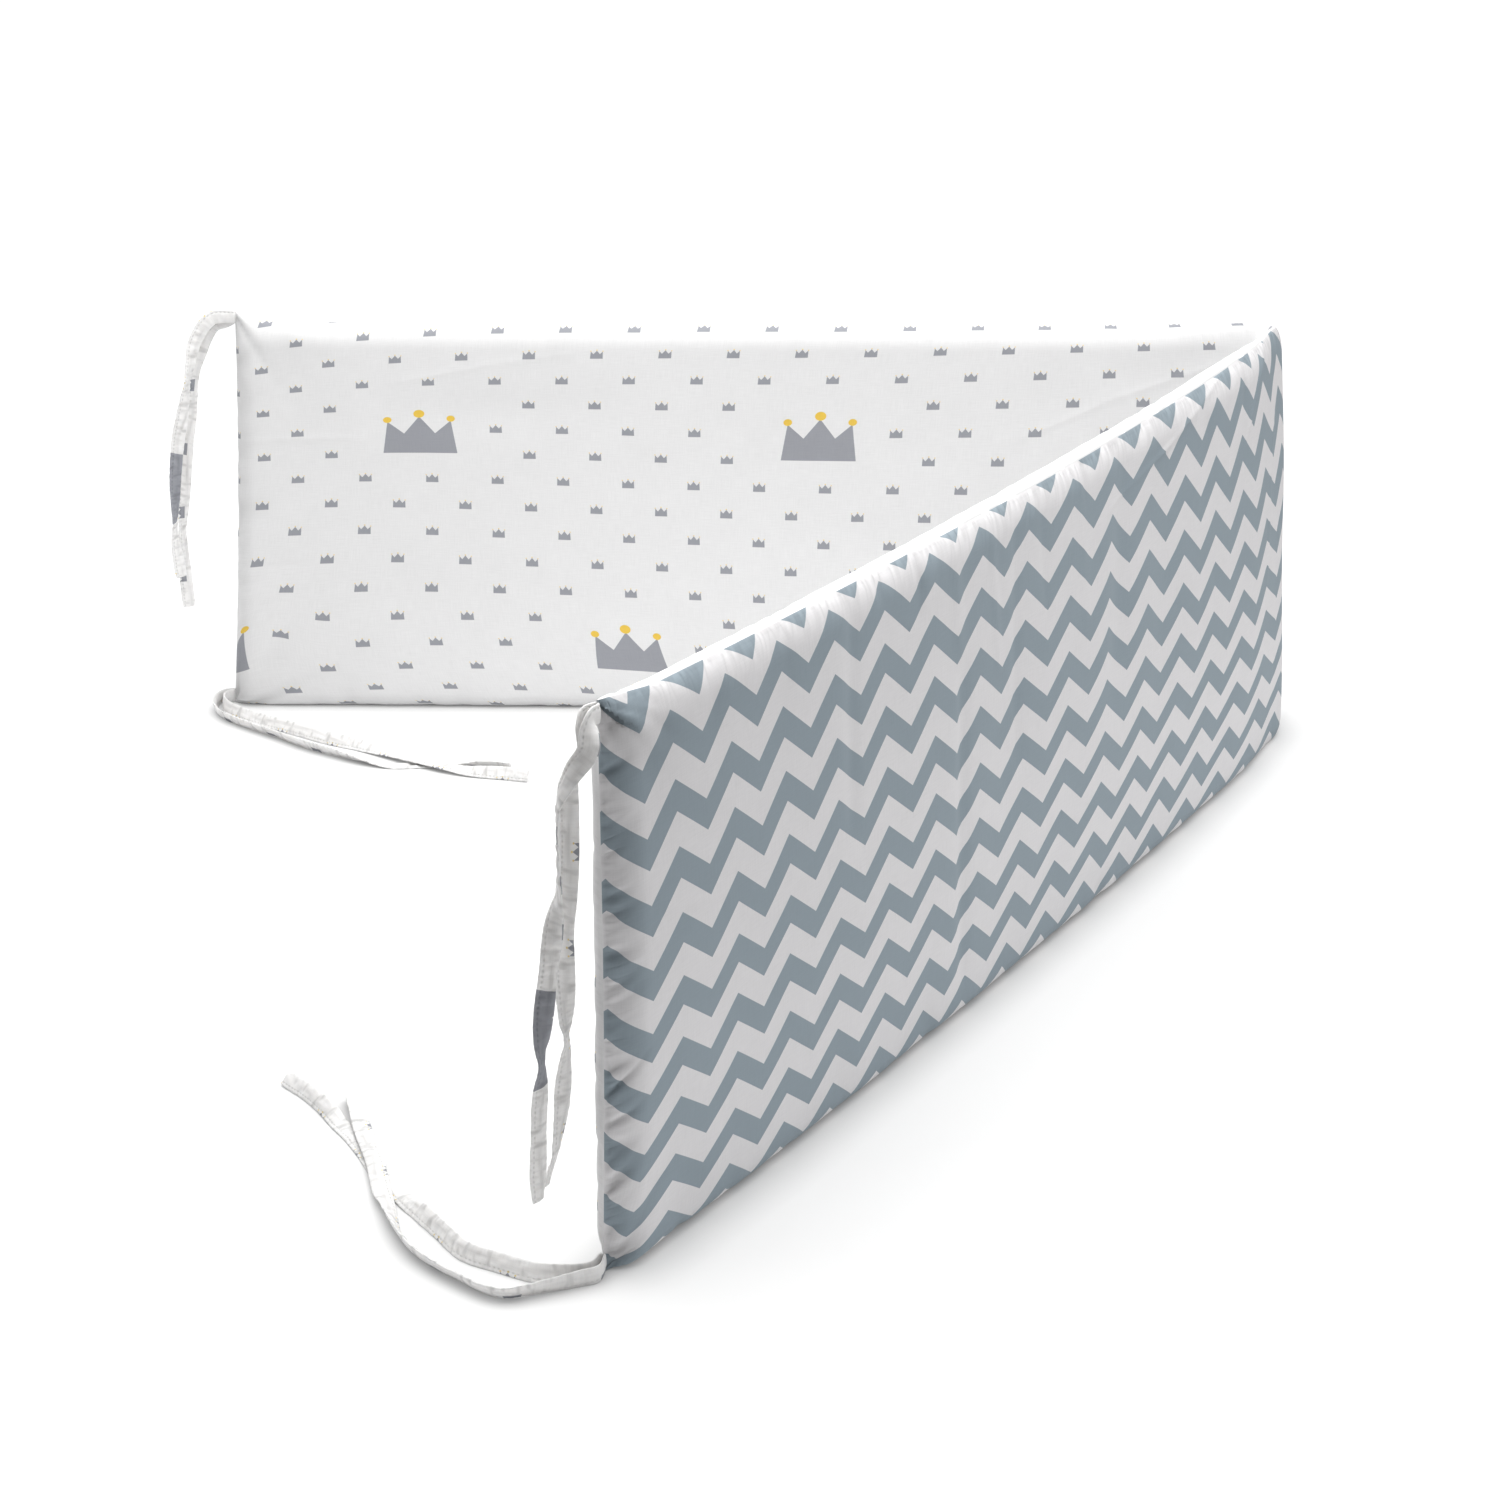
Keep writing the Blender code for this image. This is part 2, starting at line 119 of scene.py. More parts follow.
# Tails that lie on the floor, root to tip, in mm. Columns: x, y, how far the tail is
# lifted off the floor, and its roll in degrees: 0 on edge, 90 flat.
FLOOR_TAILS = {
    "tie_far_bottom": (
        ((-389, 409, 0.8, 3), (-390, 402, 0.6, 8), (-386, 390, 0.2, 18), (-374, 377, 0, 30),
         (-355, 362, 0, 34), (-328, 344, 0, 30), (-297, 323, 0, 36), (-271, 310, 0, 52),
         (-249, 296, 1.8, 86), (-235, 286, 2.8, 90), (-219, 276, 2.8, 90), (-203, 267, 2.6, 88),
         (-187, 260, 0.8, 66), (-171, 255, 0, 40), (-158, 252, 0, 34), (-142, 247, 0, 30)),
        ((-391, 413, 0.8, 3), (-395, 405, 0.6, 8), (-395, 391, 0.2, 16), (-386, 373, 0, 26),
         (-365, 353, 0, 32), (-339, 333, 0, 36), (-315, 312, 0, 30), (-291, 296, 0, 34),
         (-267, 283, 0, 60), (-245, 276, 0, 90), (-221, 277, 0, 90), (-200, 280, 0, 86),
         (-177, 273, 0, 50), (-156, 266, 0, 34))),
    "tie_near_bottom": (
        ((-56, -408, 0.8, 3), (-67, -413, 0.6, 10), (-83, -419, 0.2, 22), (-103, -424, 0, 30),
         (-128, -407, 0, 34), (-148, -388, 0, 28), (-160, -368, 0, 26), (-168, -343, 0.4, 56),
         (-173, -328, 2.4, 86), (-177, -312, 2.8, 90), (-181, -296, 2.8, 90), (-189, -272, 2.8, 90),
         (-193, -259, 2.8, 90), (-197, -245, 1.4, 70), (-204, -224, 0, 44)),
        ((-60, -405, 0.8, 3), (-69, -408, 0.6, 8), (-85, -407, 0.2, 26), (-105, -397, 0, 38),
         (-124, -386, 0, 40), (-138, -367, 0, 36), (-152, -346, 0, 50), (-159, -335, 0, 76),
         (-166, -324, 0, 90), (-178, -304, 0, 90), (-189, -281, 0, 90), (-198, -265, 0, 90),
         (-206, -253, 0, 84), (-214, -241, 0, 52), (-228, -222, 0, 40), (-243, -205, 0, 50))),
}

# ---------------------------------------------------------------- the covers' fine shape
CROWN_SIDE, ZIGZAG_SIDE = -1, 1
COLUMN_STEP = 0.0034      # spacing of the covers' grid along the pad
ROW_STEP = 0.0018         # and up its faces
ROUND_STEPS = 11          # steps round each edge
PRINT_MIDDLE = 0.1495     # height at which the print's v is 0
GROOVE_DEPTH = 0.0003     # the seam sinks this far between the two cottons
GROOVE_WIDTH = 0.0020
SEAM_HOLD = 0.0035        # within about this of the seam the cloth keeps the smooth form
WALL_INSET = 0.005        # how far inside an end's seam the inner wall follows its bow
BLEND_REACH = 0.010       # over this far from the seam both sides take the same thickness
TOP_ROUND = 0.0175        # height over which the top edge rounds off
END_ROUND = 0.0165        # length over which the ends round off
INNER_INSET = 0.0005      # how far each half's hidden inner wall stays off the middle
SHARP_ANGLE = math.radians(60)

# How far the top seam is rolled towards the zigzag side, in degrees, by the distance
# from the fold, which is negative on the far limb.
SEAM_ROLL = (
    (-0.78, 26), (-0.56, 24), (-0.50, 13), (-0.40, 16), (-0.30, 12), (-0.24, 22),
    (-0.08, 20), (0.00, 6), (0.06, 20), (0.20, 26), (0.45, 28), (0.62, 23), (0.76, 19),
    (0.845, 17), (0.866, 8),
)


def bell(distance, width):
    """1 in the middle, dying out smoothly to both sides."""
    return math.exp(-(distance / width) ** 2)


def direction(heading):
    """The unit vector of a heading in radians, seen from above."""
    return Vector((math.cos(heading), math.sin(heading), 0.0))


def walk(start, heading, length, turn):
    """The point and heading after a length that turns evenly by an angle."""
    if abs(turn) < 1e-9:
        return start + direction(heading) * length, heading
    chord = length * math.sin(turn / 2) / (turn / 2)
    return start + direction(heading + turn / 2) * chord, heading + turn


def edge_point(level, limb, t):
    """A point and heading on the bottom edge or the top seam: limb far, fold or near."""
    x, y, far_deg, far, radius, fold_deg, near, end_deg = EDGE_LINES[level]
    start = Vector((x, y, 0.0))
    heading, fold_end, near_end = (math.radians(a) for a in (far_deg, fold_deg, end_deg))
    if limb == "far":
        return walk(start, heading, far * t, 0.0)
    start, heading = walk(start, heading, far, 0.0)
    bend = fold_end - heading
    if limb == "fold":
        return walk(start, heading, radius * abs(bend) * t, bend * t)
    start, heading = walk(start, heading, radius * abs(bend), bend)
    return walk(start, heading, near * t, (near_end - heading) * t)


def mean_length(limb):
    """A limb's length at mid height."""
    if limb == "fold":
        radius = (EDGE_LINES["bottom"][4] + EDGE_LINES["top"][4]) / 2
        return radius * math.radians(FOLD_TURN)
    column = {"far": 3, "near": 6}[limb]
    return (EDGE_LINES["bottom"][column] + EDGE_LINES["top"][column]) / 2


def from_fold(limb, t):
    """Distance from the fold along a limb."""
    if limb == "far":
        return mean_length("far") * (1 - t)
    return mean_length("near") * t if limb == "near" else 0.0


def mid_surface(limb, t, z):
    """The pad's middle surface at a height, and its outward normal there."""
    v = min(max(z / HEIGHT, 0.0), 1.0)
    low, low_heading = edge_point("bottom", limb, t)
    high, high_heading = edge_point("top", limb, t)
    heading = low_heading * (1 - v) + high_heading * v
    point = low.lerp(high, v)
    far_gap = mean_length("far") * t if limb == "far" else 1.0
    near_gap = mean_length("near") * (1 - t) if limb == "near" else 1.0
    pulled = far_gap if far_gap < near_gap else -near_gap
    draw = DRAW_IN * math.sin(math.pi * v) * bell(pulled, DRAW_REACH)
    point += direction(heading) * math.copysign(draw, pulled)
    lift = (EAR_FAR * bell(far_gap, EAR_REACH) + EAR_NEAR * bell(near_gap, EAR_REACH)
            + EAR_FOLD * bell(from_fold(limb, t), EAR_REACH))
    if limb == "near":
        lift += NEAR_RISE * math.sin(math.pi * t)
    point.z = z + lift * max(0.0, (v - EAR_START) / (1 - EAR_START)) ** 2
    return point, heading


def half_thickness(limb, t, z, side):
    """Half the pad's thickness away from its rounded edges, on one side."""
    away = from_fold(limb, t)
    fullness = 1 - (1 - FOLD_FULLNESS) * bell(away, FOLD_REACH)
    depth = (EDGE + CROWN * math.sin(math.pi * min(max(z / HEIGHT, 0.0), 1.0))) * fullness
    for along, height, half_length, half_height, *depths in DENTS[limb]:
        dent = depths[0 if side == CROWN_SIDE else 1]
        depth -= dent * bell(away - along, half_length) * bell(z - height, half_height)
    return depth


def interpolate(table, x):
    """A smooth value from rows of (x, value)."""
    if x <= table[0][0]:
        return table[0][1]
    for (x0, y0), (x1, y1) in zip(table, table[1:]):
        if x <= x1:
            f = (x - x0) / (x1 - x0)
            return y0 + (y1 - y0) * f * f * (3 - 2 * f)
    return table[-1][1]


def cover_stations():
    """Places along the pad from the far end to the near end: limb, t, the angle round
    the end's edge (90 degrees away from the ends) and which way that end points."""
    far, near = mean_length("far"), mean_length("near")
    angles = [math.radians(90 * i / ROUND_STEPS) for i in range(ROUND_STEPS)]
    right = math.pi / 2
    first, last = END_ROUND / far, 1 - END_ROUND / near
    far_steps = round((far - END_ROUND) / COLUMN_STEP)
    fold_steps = round(mean_length("fold") / COLUMN_STEP)
    near_steps = round((near - END_ROUND) / COLUMN_STEP)
    stations = [("far", END_ROUND * (1 - math.cos(a)) / far, a, -1) for a in angles]
    stations += [("far", first + (1 - first) * i / far_steps, right, -1)
                 for i in range(far_steps)]
    stations += [("fold", i / fold_steps, right, 1) for i in range(fold_steps)]
    stations += [("near", last * i / near_steps, right, 1) for i in range(near_steps + 1)]
    stations += [("near", 1 - END_ROUND * (1 - math.cos(a)) / near, a, 1)
                 for a in reversed(angles)]
    return stations


def cover_levels(roll):
    """Heights from the floor to the top seam, each with its angle round the edge: 0 at a
    seam in the middle, 90 degrees on the face. roll is where the top seam lies."""
    pressed = EDGE * (1 - math.cos(math.radians(FLAT_ANGLE)))
    right = math.pi / 2
    levels = []
    for i in range(ROUND_STEPS):
        a = right * i / ROUND_STEPS
        levels.append((max(0.0, EDGE * (1 - math.cos(a)) - pressed), a, -1))
    low, high = EDGE - pressed, HEIGHT - TOP_ROUND
    steps = round((high - low) / ROW_STEP)
    levels += [(low + (high - low) * i / steps, right, 0) for i in range(steps + 1)]
    for i in range(1, ROUND_STEPS + 1):
        a = right + (roll - right) * i / ROUND_STEPS
        levels.append((HEIGHT - TOP_ROUND * (1 - math.cos(a)), a, 1))
    return levels


def signed_from_fold(limb, t):
    """Distance from the fold, negative on the far limb."""
    return -from_fold(limb, t) if limb == "far" else from_fold(limb, t)


def smooth_column(station, side):
    """One column of a cover before its folds: points, directions out of the cushion."""
    limb, t, end_angle, end_sign = station
    roll = side * math.radians(interpolate(SEAM_ROLL, signed_from_fold(limb, t)))
    points, outs = [], []
    for z, angle, upright in cover_levels(roll):
        middle, heading = mid_surface(limb, t, z)
        outward = direction(heading + math.pi / 2)
        own = half_thickness(limb, t, z, side)
        mean = (own + half_thickness(limb, t, z, -side)) / 2
        at_seam = min(EDGE * abs(angle - (roll if upright > 0 else 0.0)), EDGE * end_angle)
        depth = mean + (own - mean) * min(1.0, at_seam / BLEND_REACH)
        share = math.sin(angle) * math.sin(end_angle)
        points.append(middle + outward * side * depth * share)
        out = (outward * side * share + Vector((0, 0, upright * math.cos(angle)))
               + direction(heading) * end_sign * math.cos(end_angle))
        outs.append(out.normalized())
    return points, outs


def running_length(points):
    """Distance along a line of points, starting at 0."""
    lengths = [0.0]
    for a, b in zip(points, points[1:]):
        lengths.append(lengths[-1] + (b - a).length)
    return lengths


def ridged(x, y, seed):
    """Noise with narrow ridges, from 0 to 1."""
    return max(0.0, 1.0 - 2.6 * abs(noise.noise(Vector((x, y, seed)))))


# The filling's lumps and the cloth's slight waves. Columns: length, height up the face,
# seed, depth (m).
LUMPS = (
    (0.160, 0.100, 0, 0.00100),
    (0.055, 0.090, 5, 0.00045),
    (0.022, 0.035, 9, 0.00016),
)

# Each side's creases. Columns: u and v of the start, the middle and the end (mm, as in the
# cloth's map), half width and height in mm (negative for a valley).
CREASES = {
    ZIGZAG_SIDE: (
        (160, 160, 250, 143, 313, 130, 1.6, 0.45),
        (313, 130, 355, 124, 400, 116, 1.4, 0.35),
        (80, 156, 112, 135, 140, 108, 1.8, 0.60),
        (60, 120, 75, 60, 78, -10, 2.6, 0.45),
        (930, 14, 921, 21, 911, 25, 1.5, 0.45),
        (890, 34, 882, 37, 872, 35, 1.6, 0.35),
        (604, 70, 596, -25, 583, -115, 6.5, -1.10),
        (728, 150, 729, 95, 724, 30, 6.0, -0.70),
        (545, 150, 536, 64, 526, 0, 5.0, -0.55),
        (620, 148, 612, 100, 604, 70, 5.0, 0.50),
        (577, 155, 571, 120, 560, 70, 3.0, 0.45),
        (512, 150, 506, 120, 498, 80, 4.0, -0.40),
        (455, 150, 449, 110, 440, 60, 4.0, 0.35),
    ),
    CROWN_SIDE: (
        (-642, 110, -587, 121, -532, 129, 2.2, 0.20),
        (-790, 60, -735, 65, -690, 66, 2.4, 0.22),
        (-795, -30, -760, -36, -728, -33, 3.0, -0.25),
        (-180, 70, -120, 98, -60, 118, 2.6, 0.25),
    ),
}
CREASE_STRENGTH = 1.7     # all the creases' heights are multiplied by this
CREASE_END = 12           # mm over which a crease dies out past its ends
CREASE_REACH = 30         # mm past its ends beyond which a crease isn't worked out

# The puckers that run in from the seams. Columns: spacing, depth, length (mm), how far
# they climb as they run in (a share of their length).
TOP_PUCKERS = (15.0, 1.6, 22.0, 0.0)
BOTTOM_PUCKERS = (21.0, 1.2, 16.0, 0.0)
END_PUCKERS = (19.0, 1.7, 18.0, 0.30)
NOSE_PUCKERS = (9.5, 4.2, 13.0, 0.60)
PUCKER_JITTER = 0.7       # how unevenly the puckers are spaced and slanted
PUCKER_VARIATION = 0.12   # the top puckers' depth varies over this length (m)
CORNER_FOLD = 0.0065      # depth of the folds that fan out from a corner
CORNER_REACH = 0.024
CORNER_GAP = 0.007        # they start about this far from the corner
CORNER_LIMIT = 0.14
FULL_FOLD = 0.0030        # a fold this deep takes the whole of the painted shade in the folds


def scatter(cell, seed):
    """A fixed number from 0 to 1 for a cell."""
    number = math.sin(cell * 12.9898 + seed * 78.233) * 43758.5453
    return number - math.floor(number)


def puckers(along, gap, seed, sizes):
    """Narrow valleys across a seam, each with its own place, slant, length and depth."""
    spacing, depth, length, climb = sizes
    along, gap = along * 1000, gap * 1000
    if gap > 3.2 * length:
        return 0.0
    cell = math.floor(along / spacing)
    total = 0.0
    for k in range(cell - 2, cell + 3):
        place = (k + 0.5 + PUCKER_JITTER * (scatter(k, seed) - 0.5)) * spacing
        slant = climb + PUCKER_JITTER * (scatter(k, seed + 1) - 0.5)
        reach = length * (0.45 + scatter(k, seed + 2))
        own = depth * (0.15 + scatter(k, seed + 3) ** 2)
        width = spacing * (0.16 + 0.16 * scatter(k, seed + 4)) * (1 + gap / length * 0.5)
        fall = ((along - place - slant * gap) / width) ** 2 + (gap / reach) ** 2
        total += own * math.exp(-min(fall, 40.0))
    return -total / 1000


def gathers(u, v, gaps, side):
    """All the puckers at a point of a cover."""
    top, bottom, far_end, near_end = gaps
    seed = 5.0 * side
    vary = 0.6 + 1.1 * noise.noise(Vector((u / PUCKER_VARIATION, seed, 7.0)))
    depth = max(vary, 0.1) * puckers(u, top, seed + 10, TOP_PUCKERS)
    depth += puckers(u, bottom, seed + 20, BOTTOM_PUCKERS)
    depth += puckers(v, far_end, seed + 30, END_PUCKERS)
    near_sizes = NOSE_PUCKERS if side == ZIGZAG_SIDE else END_PUCKERS
    return depth + puckers(v, near_end, seed + 40, near_sizes)


def corner_folds(gaps, side):
    """Folds that fan out from the four corners."""
    top, bottom, far_end, near_end = gaps
    depth = 0.0
    for seam, end, seed in ((top, far_end, 1.0), (bottom, far_end, 2.0),
                            (top, near_end, 3.0), (bottom, near_end, 4.0)):
        away = math.hypot(seam, end)
        if away > CORNER_LIMIT:
            continue
        folds = ridged(math.atan2(seam, end) * 2.2, away / 0.08, 9.0 * seed + side)
        free = 1 - math.exp(-away / CORNER_GAP)
        depth += CORNER_FOLD * folds * math.exp(-away / CORNER_REACH) * free
    return -depth


def unevenness(u, v, side):
    """The filling's soft lumps and the cloth's slight waves."""
    return sum(depth * noise.noise(Vector((u / length, v / height, 11.0 * side + seed)))
               for length, height, seed, depth in LUMPS)


def creases(u, v, side):
    """Raised and sunken creases, each along a bent line."""
    rise = 0.0
    u, v = u * 1000, v * 1000
    for u0, v0, u1, v1, u2, v2, width, height in CREASES[side]:
        if max(min(u0, u2) - u, u - max(u0, u2)) >= CREASE_REACH:
            continue
        strength = 0.0
        for (a, b), (c, d) in (((u0, v0), (u1, v1)), ((u1, v1), (u2, v2))):
            length = math.hypot(c - a, d - b)
            along = ((u - a) * (c - a) + (v - b) * (d - b)) / length
            off = ((u - a) * (d - b) - (v - b) * (c - a)) / length
            beyond = max(0.0, -along, along - length)
            fall = (off / width) ** 2 + (beyond / CREASE_END) ** 2
            strength = max(strength, math.exp(-min(fall, 40.0)))
        rise += strength * height * CREASE_STRENGTH / 1000
    return rise


# How the print is pulled out of true by the sewing and the filling, fitted to where the
# photo's motifs lie. For each side: the middle and reach of the drift along the pad, then
# rows of powers along and up, and the shift along and up in mm.
PRINT_DRIFT = {
    CROWN_SIDE: (-0.400, 0.400, (
        (1, 0, 9.8, 10.9), (2, 0, -9.2, -11.2), (3, 0, -25.0, -2.7), (4, 0, 0.6, 18.8),
        (0, 1, 9.3, -7.3), (1, 1, -8.7, -6.2), (2, 1, -20.6, -15.4), (3, 1, 26.5, -9.0),
        (0, 2, -4.2, 6.9), (1, 2, -5.6, -13.4), (2, 2, 37.3, 35.8), (3, 2, 12.0, -3.4),
        (0, 3, 5.2, 3.0), (1, 3, -16.0, -30.4), (2, 3, -5.9, -15.7), (0, 4, -9.5, -1.4),
        (1, 4, 14.8, 37.6))),
    ZIGZAG_SIDE: (0.500, 0.450, (
        (1, 0, -26.15, -10.57), (2, 0, 59.57, 22.36), (3, 0, 43.18, 3.22),
        (4, 0, -16.93, -8.11), (5, 0, -26.48, 7.32), (0, 1, -10.15, 2.81),
        (1, 1, -27.00, -7.57), (2, 1, 2.16, 0.27), (3, 1, 44.17, 14.02),
        (0, 2, -10.68, -7.50), (1, 2, 12.42, 8.18), (2, 2, -16.07, -11.50),
        (0, 3, 17.81, 5.42), (1, 3, -12.37, -0.73))),
}
# Local tugs on top of that. Columns: side, u and v of the middle, reach, shift along and
# up (mm).
PRINT_TUGS = (
    (CROWN_SIDE, -768, -25, 28, -4.5, 0.0),
    (CROWN_SIDE, -745, -95, 30, 0.8, -14.0),
)
DRIFT_HEIGHT = 0.15       # the height that counts as 1 in the drift's rows
DRIFT_TOP = 1.08          # beyond this the drift stays the same
DRIFT_FADE = 0.30         # beyond its reach the drift dies out over this length


def print_place(u, v, side):
    """Where a point of the cover lies on the flat printed cloth."""
    middle, reach, rows = PRINT_DRIFT[side]
    along = (u - middle) / reach
    beyond = max(0.0, abs(along) - 1.0) * reach
    fade = max(0.0, 1.0 - beyond / DRIFT_FADE) ** 2
    along = min(max(along, -1.0), 1.0)
    up = min(max(v / DRIFT_HEIGHT, -DRIFT_TOP), DRIFT_TOP)
    shift_u = sum(du * along ** i * up ** j for i, j, du, dv in rows)
    shift_v = sum(dv * along ** i * up ** j for i, j, du, dv in rows)
    shift_u, shift_v = fade * shift_u, fade * shift_v
    for of_side, tug_u, tug_v, tug_reach, du, dv in PRINT_TUGS:
        if of_side == side:
            near = bell(math.hypot(u * 1000 - tug_u, v * 1000 - tug_v), tug_reach)
            shift_u += du * near
            shift_v += dv * near
    return u + shift_u / 1000, v + shift_v / 1000


def end_wall(side, stations, column, rows, vertices):
    """The inner wall beside an end's seam: its faces, and its points from low to high."""
    limb, t, _, end_sign = stations[column]
    seam = [column * rows + j for j in range(rows)]
    top = vertices[seam[-1]].z
    inner = [seam[0]]
    for j in seam[1:-1]:
        _, heading = mid_surface(limb, t, vertices[j].z)
        inset = min(WALL_INSET, 0.4 * vertices[j].z, 0.4 * (top - vertices[j].z))
        shift = direction(heading + math.pi / 2) * side * INNER_INSET
        inner.append(len(vertices))
        vertices.append(vertices[j] - direction(heading) * end_sign * inset + shift)
    inner.append(seam[-1])
    faces = [(seam[0], seam[1], inner[1]), (seam[-2], seam[-1], inner[-2])]
    faces += [(seam[j], seam[j + 1], inner[j + 1], inner[j]) for j in range(1, rows - 2)]
    return faces, inner


def inner_wall(side, stations, rows, vertices):
    """Faces that close a cover along the pad's middle, behind its outer face."""
    count = len(stations)
    first, last = ROUND_STEPS, count - 1 - ROUND_STEPS
    spine = {}
    for i in range(first, last + 1):
        limb, t, _, _ = stations[i]
        middle, heading = mid_surface(limb, t, HEIGHT / 2)
        spine[i] = len(vertices)
        vertices.append(middle + direction(heading + math.pi / 2) * side * INNER_INSET)
    faces = []
    for i in range(first, last):
        low, high = i * rows, i * rows + rows - 1
        faces.append((low, spine[i], spine[i + 1], low + rows))
        faces.append((spine[i], high, high + rows, spine[i + 1]))
    beside, inner = end_wall(side, stations, 0, rows, vertices)
    top = [i * rows + rows - 1 for i in range(1, first + 1)]
    bottom = [i * rows for i in range(first, 0, -1)]
    faces += beside + [tuple(inner + top + [spine[first]] + bottom)]
    beside, inner = end_wall(side, stations, count - 1, rows, vertices)
    top = [i * rows + rows - 1 for i in range(last, count - 1)]
    bottom = [i * rows for i in range(count - 2, last - 1, -1)]
    faces += [face[::-1] for face in beside]
    faces.append(tuple(inner[::-1] + bottom + [spine[last]] + top))
    return faces


def cover_relief(u, v, gaps, side):
    """How far the cloth is sunk in its folds, and how far it rises off the smooth form."""
    nearest = min(gaps)
    free = 1 - math.exp(-nearest / SEAM_HOLD)
    sunk = free * (gathers(u, v, gaps, side) + corner_folds(gaps, side))
    rise = sunk + free * (unevenness(u, v, side) + creases(u, v, side))
    return sunk, rise - GROOVE_DEPTH * bell(nearest, GROOVE_WIDTH)


def build_cover(name, side):
    """Half of the pad: one cotton from seam to seam, closed by a hidden inner wall."""
    stations = cover_stations()
    grid = [smooth_column(station, side) for station in stations]
    rows = len(grid[0][0])
    middle_row = ROUND_STEPS + (rows - 2 * ROUND_STEPS) // 2
    middle_height = cover_levels(0.0)[middle_row][0]
    across = running_length([points[middle_row] for points, _ in grid])
    fold_at = min(range(len(stations)),
                  key=lambda i: (stations[i][0] != "fold", abs(stations[i][1] - 0.5)))
    vertices, places, seams, folds = [], [], [], []
    for i, (points, outs) in enumerate(grid):
        up = running_length(points)
        u = across[i] - across[fold_at]
        for j, (point, out) in enumerate(zip(points, outs)):
            v = up[j] - up[middle_row] + middle_height - PRINT_MIDDLE
            gaps = (up[-1] - up[j], up[j], across[i] - across[0], across[-1] - across[i])
            sunk, rise = cover_relief(u, v, gaps, side)
            moved = point + out * rise
            moved.z = max(moved.z, 0.0)
            vertices.append(moved)
            places.append(print_place(u, v, side))
            seams.append((min(gaps), v if min(gaps) in gaps[2:] else u))
            # The Folds map carries how deep each point lies in a fold, which the material turns
            # into painted shade
            folds.append((min(-sunk / FULL_FOLD, 1.0), 0.0))
    starts = [i * rows + j for i in range(len(grid) - 1) for j in range(rows - 1)]
    faces = [(a, a + rows, a + rows + 1, a + 1) for a in starts]
    faces += inner_wall(side, stations, rows, vertices)
    if side == ZIGZAG_SIDE:
        faces = [face[::-1] for face in faces]
    spare = len(vertices) - len(places)
    places += [(0.0, 0.0)] * spare
    seams += [(1.0, 0.0)] * spare
    folds += [(0.0, 0.0)] * spare
    return new_object(name, vertices, faces, {"Cloth": places, "Seam": seams, "Folds": folds})


def new_object(name, vertices, faces, maps):
    """A mesh object with its maps, smooth but for its sharp edges."""
    mesh = bpy.data.meshes.new(name)
    mesh.from_pydata([tuple(p) for p in vertices], [], faces)
    for map_name, places in maps.items():
        layer = mesh.uv_layers.new(name=map_name)
        for loop in mesh.loops:
            layer.data[loop.index].uv = places[loop.vertex_index]
    mesh.shade_smooth()
    mesh.set_sharp_from_angle(angle=SHARP_ANGLE)
    mesh.update()
    piece = bpy.data.objects.new(name, mesh)
    bpy.context.collection.objects.link(piece)
    return piece


# ---------------------------------------------------------------- the ties
STRIP_STEP = 0.0012       # spacing of a strip's sections
STRIP_SIDES = 24          # points round a strip
CAUGHT = 0.0015           # how far a strip's fold reaches into the seam
STITCH_INSET = 0.0019     # the stitch line's distance from the strip's edge
STITCH_DEPTH = 0.00035    # how far the strip is pressed in along it
STITCH_SPREAD = 0.0006
TIP_NARROWING = (0.12, 0.004)       # share of the width that a tip loses, over this length
EDGE_CRINKLE = (0.02, 0.0052)       # share of the width that the crinkles take, spacing
FLARE = (0.06, 0.024, 0.014)        # share, distance from the corner, half length
FLAT_CORNER = (0.8, 0.022)          # share of the crinkles lost at the corner, reach
CRINKLE_PITCH = 0.0060
WAVE_PITCH = 0.016
LEAN_PITCH = 0.0055
CRINKLE_SWELL = 0.35      # how much the crinkles and the leaning folds vary the thickness
LEAN_SWELL = 0.5
WAVE_BEND = 0.0006        # how far the waves and the crinkles bend the strip
CRINKLE_BEND = 0.0003
# Width of the painted shade line along a tie
LONG_SHADE_WIDTH = 0.0012
SHADE_AND_CRINKLE_HOLD = 0.030    # the painted shade line and the crinkles' painted shade and bump start this far from the corner


def smooth_route(rows, step):
    """Centripetal Catmull-Rom through rows of numbers, the first three a place."""
    ends = [[2 * a - b for a, b in zip(rows[0], rows[1])]]
    tail = [[2 * a - b for a, b in zip(rows[-1], rows[-2])]]
    knots = ends + [list(r) for r in rows] + tail

    def mix(a, b, ta, tb, t):
        return [(x * (tb - t) + y * (t - ta)) / (tb - ta) for x, y in zip(a, b)]

    route = []
    for p0, p1, p2, p3 in zip(knots, knots[1:], knots[2:], knots[3:]):
        times = [0.0]
        for a, b in ((p0, p1), (p1, p2), (p2, p3)):
            times.append(times[-1] + math.sqrt(max(math.dist(a[:3], b[:3]), 1e-6)))
        t0, t1, t2, t3 = times
        count = max(1, round(math.dist(p1[:3], p2[:3]) / step))
        for k in range(count):
            t = t1 + (t2 - t1) * k / count
            a = mix(p0, p1, t0, t1, t)
            b = mix(p1, p2, t1, t2, t)
            c = mix(p2, p3, t2, t3, t)
            route.append(mix(mix(a, b, t0, t2, t), mix(b, c, t1, t3, t), t1, t2, t))
    route.append(list(rows[-1]))
    return route


def strip_turn(limb, height):
    """The strip's fold at the seam: places, and the side that it faces at each."""
    seam, heading = mid_surface(limb, 0.0 if limb == "far" else 1.0, height)
    into_heading = heading if limb == "far" else heading + math.pi
    centre = seam + direction(into_heading) * (CAUGHT - TURN_RADIUS - STRIP_THICKNESS / 2)
    turns = (-90, -45, 0, 45, 90)
    return [(centre + direction(into_heading + math.radians(a)) * TURN_RADIUS,
             math.degrees(into_heading) + a) for a in turns]


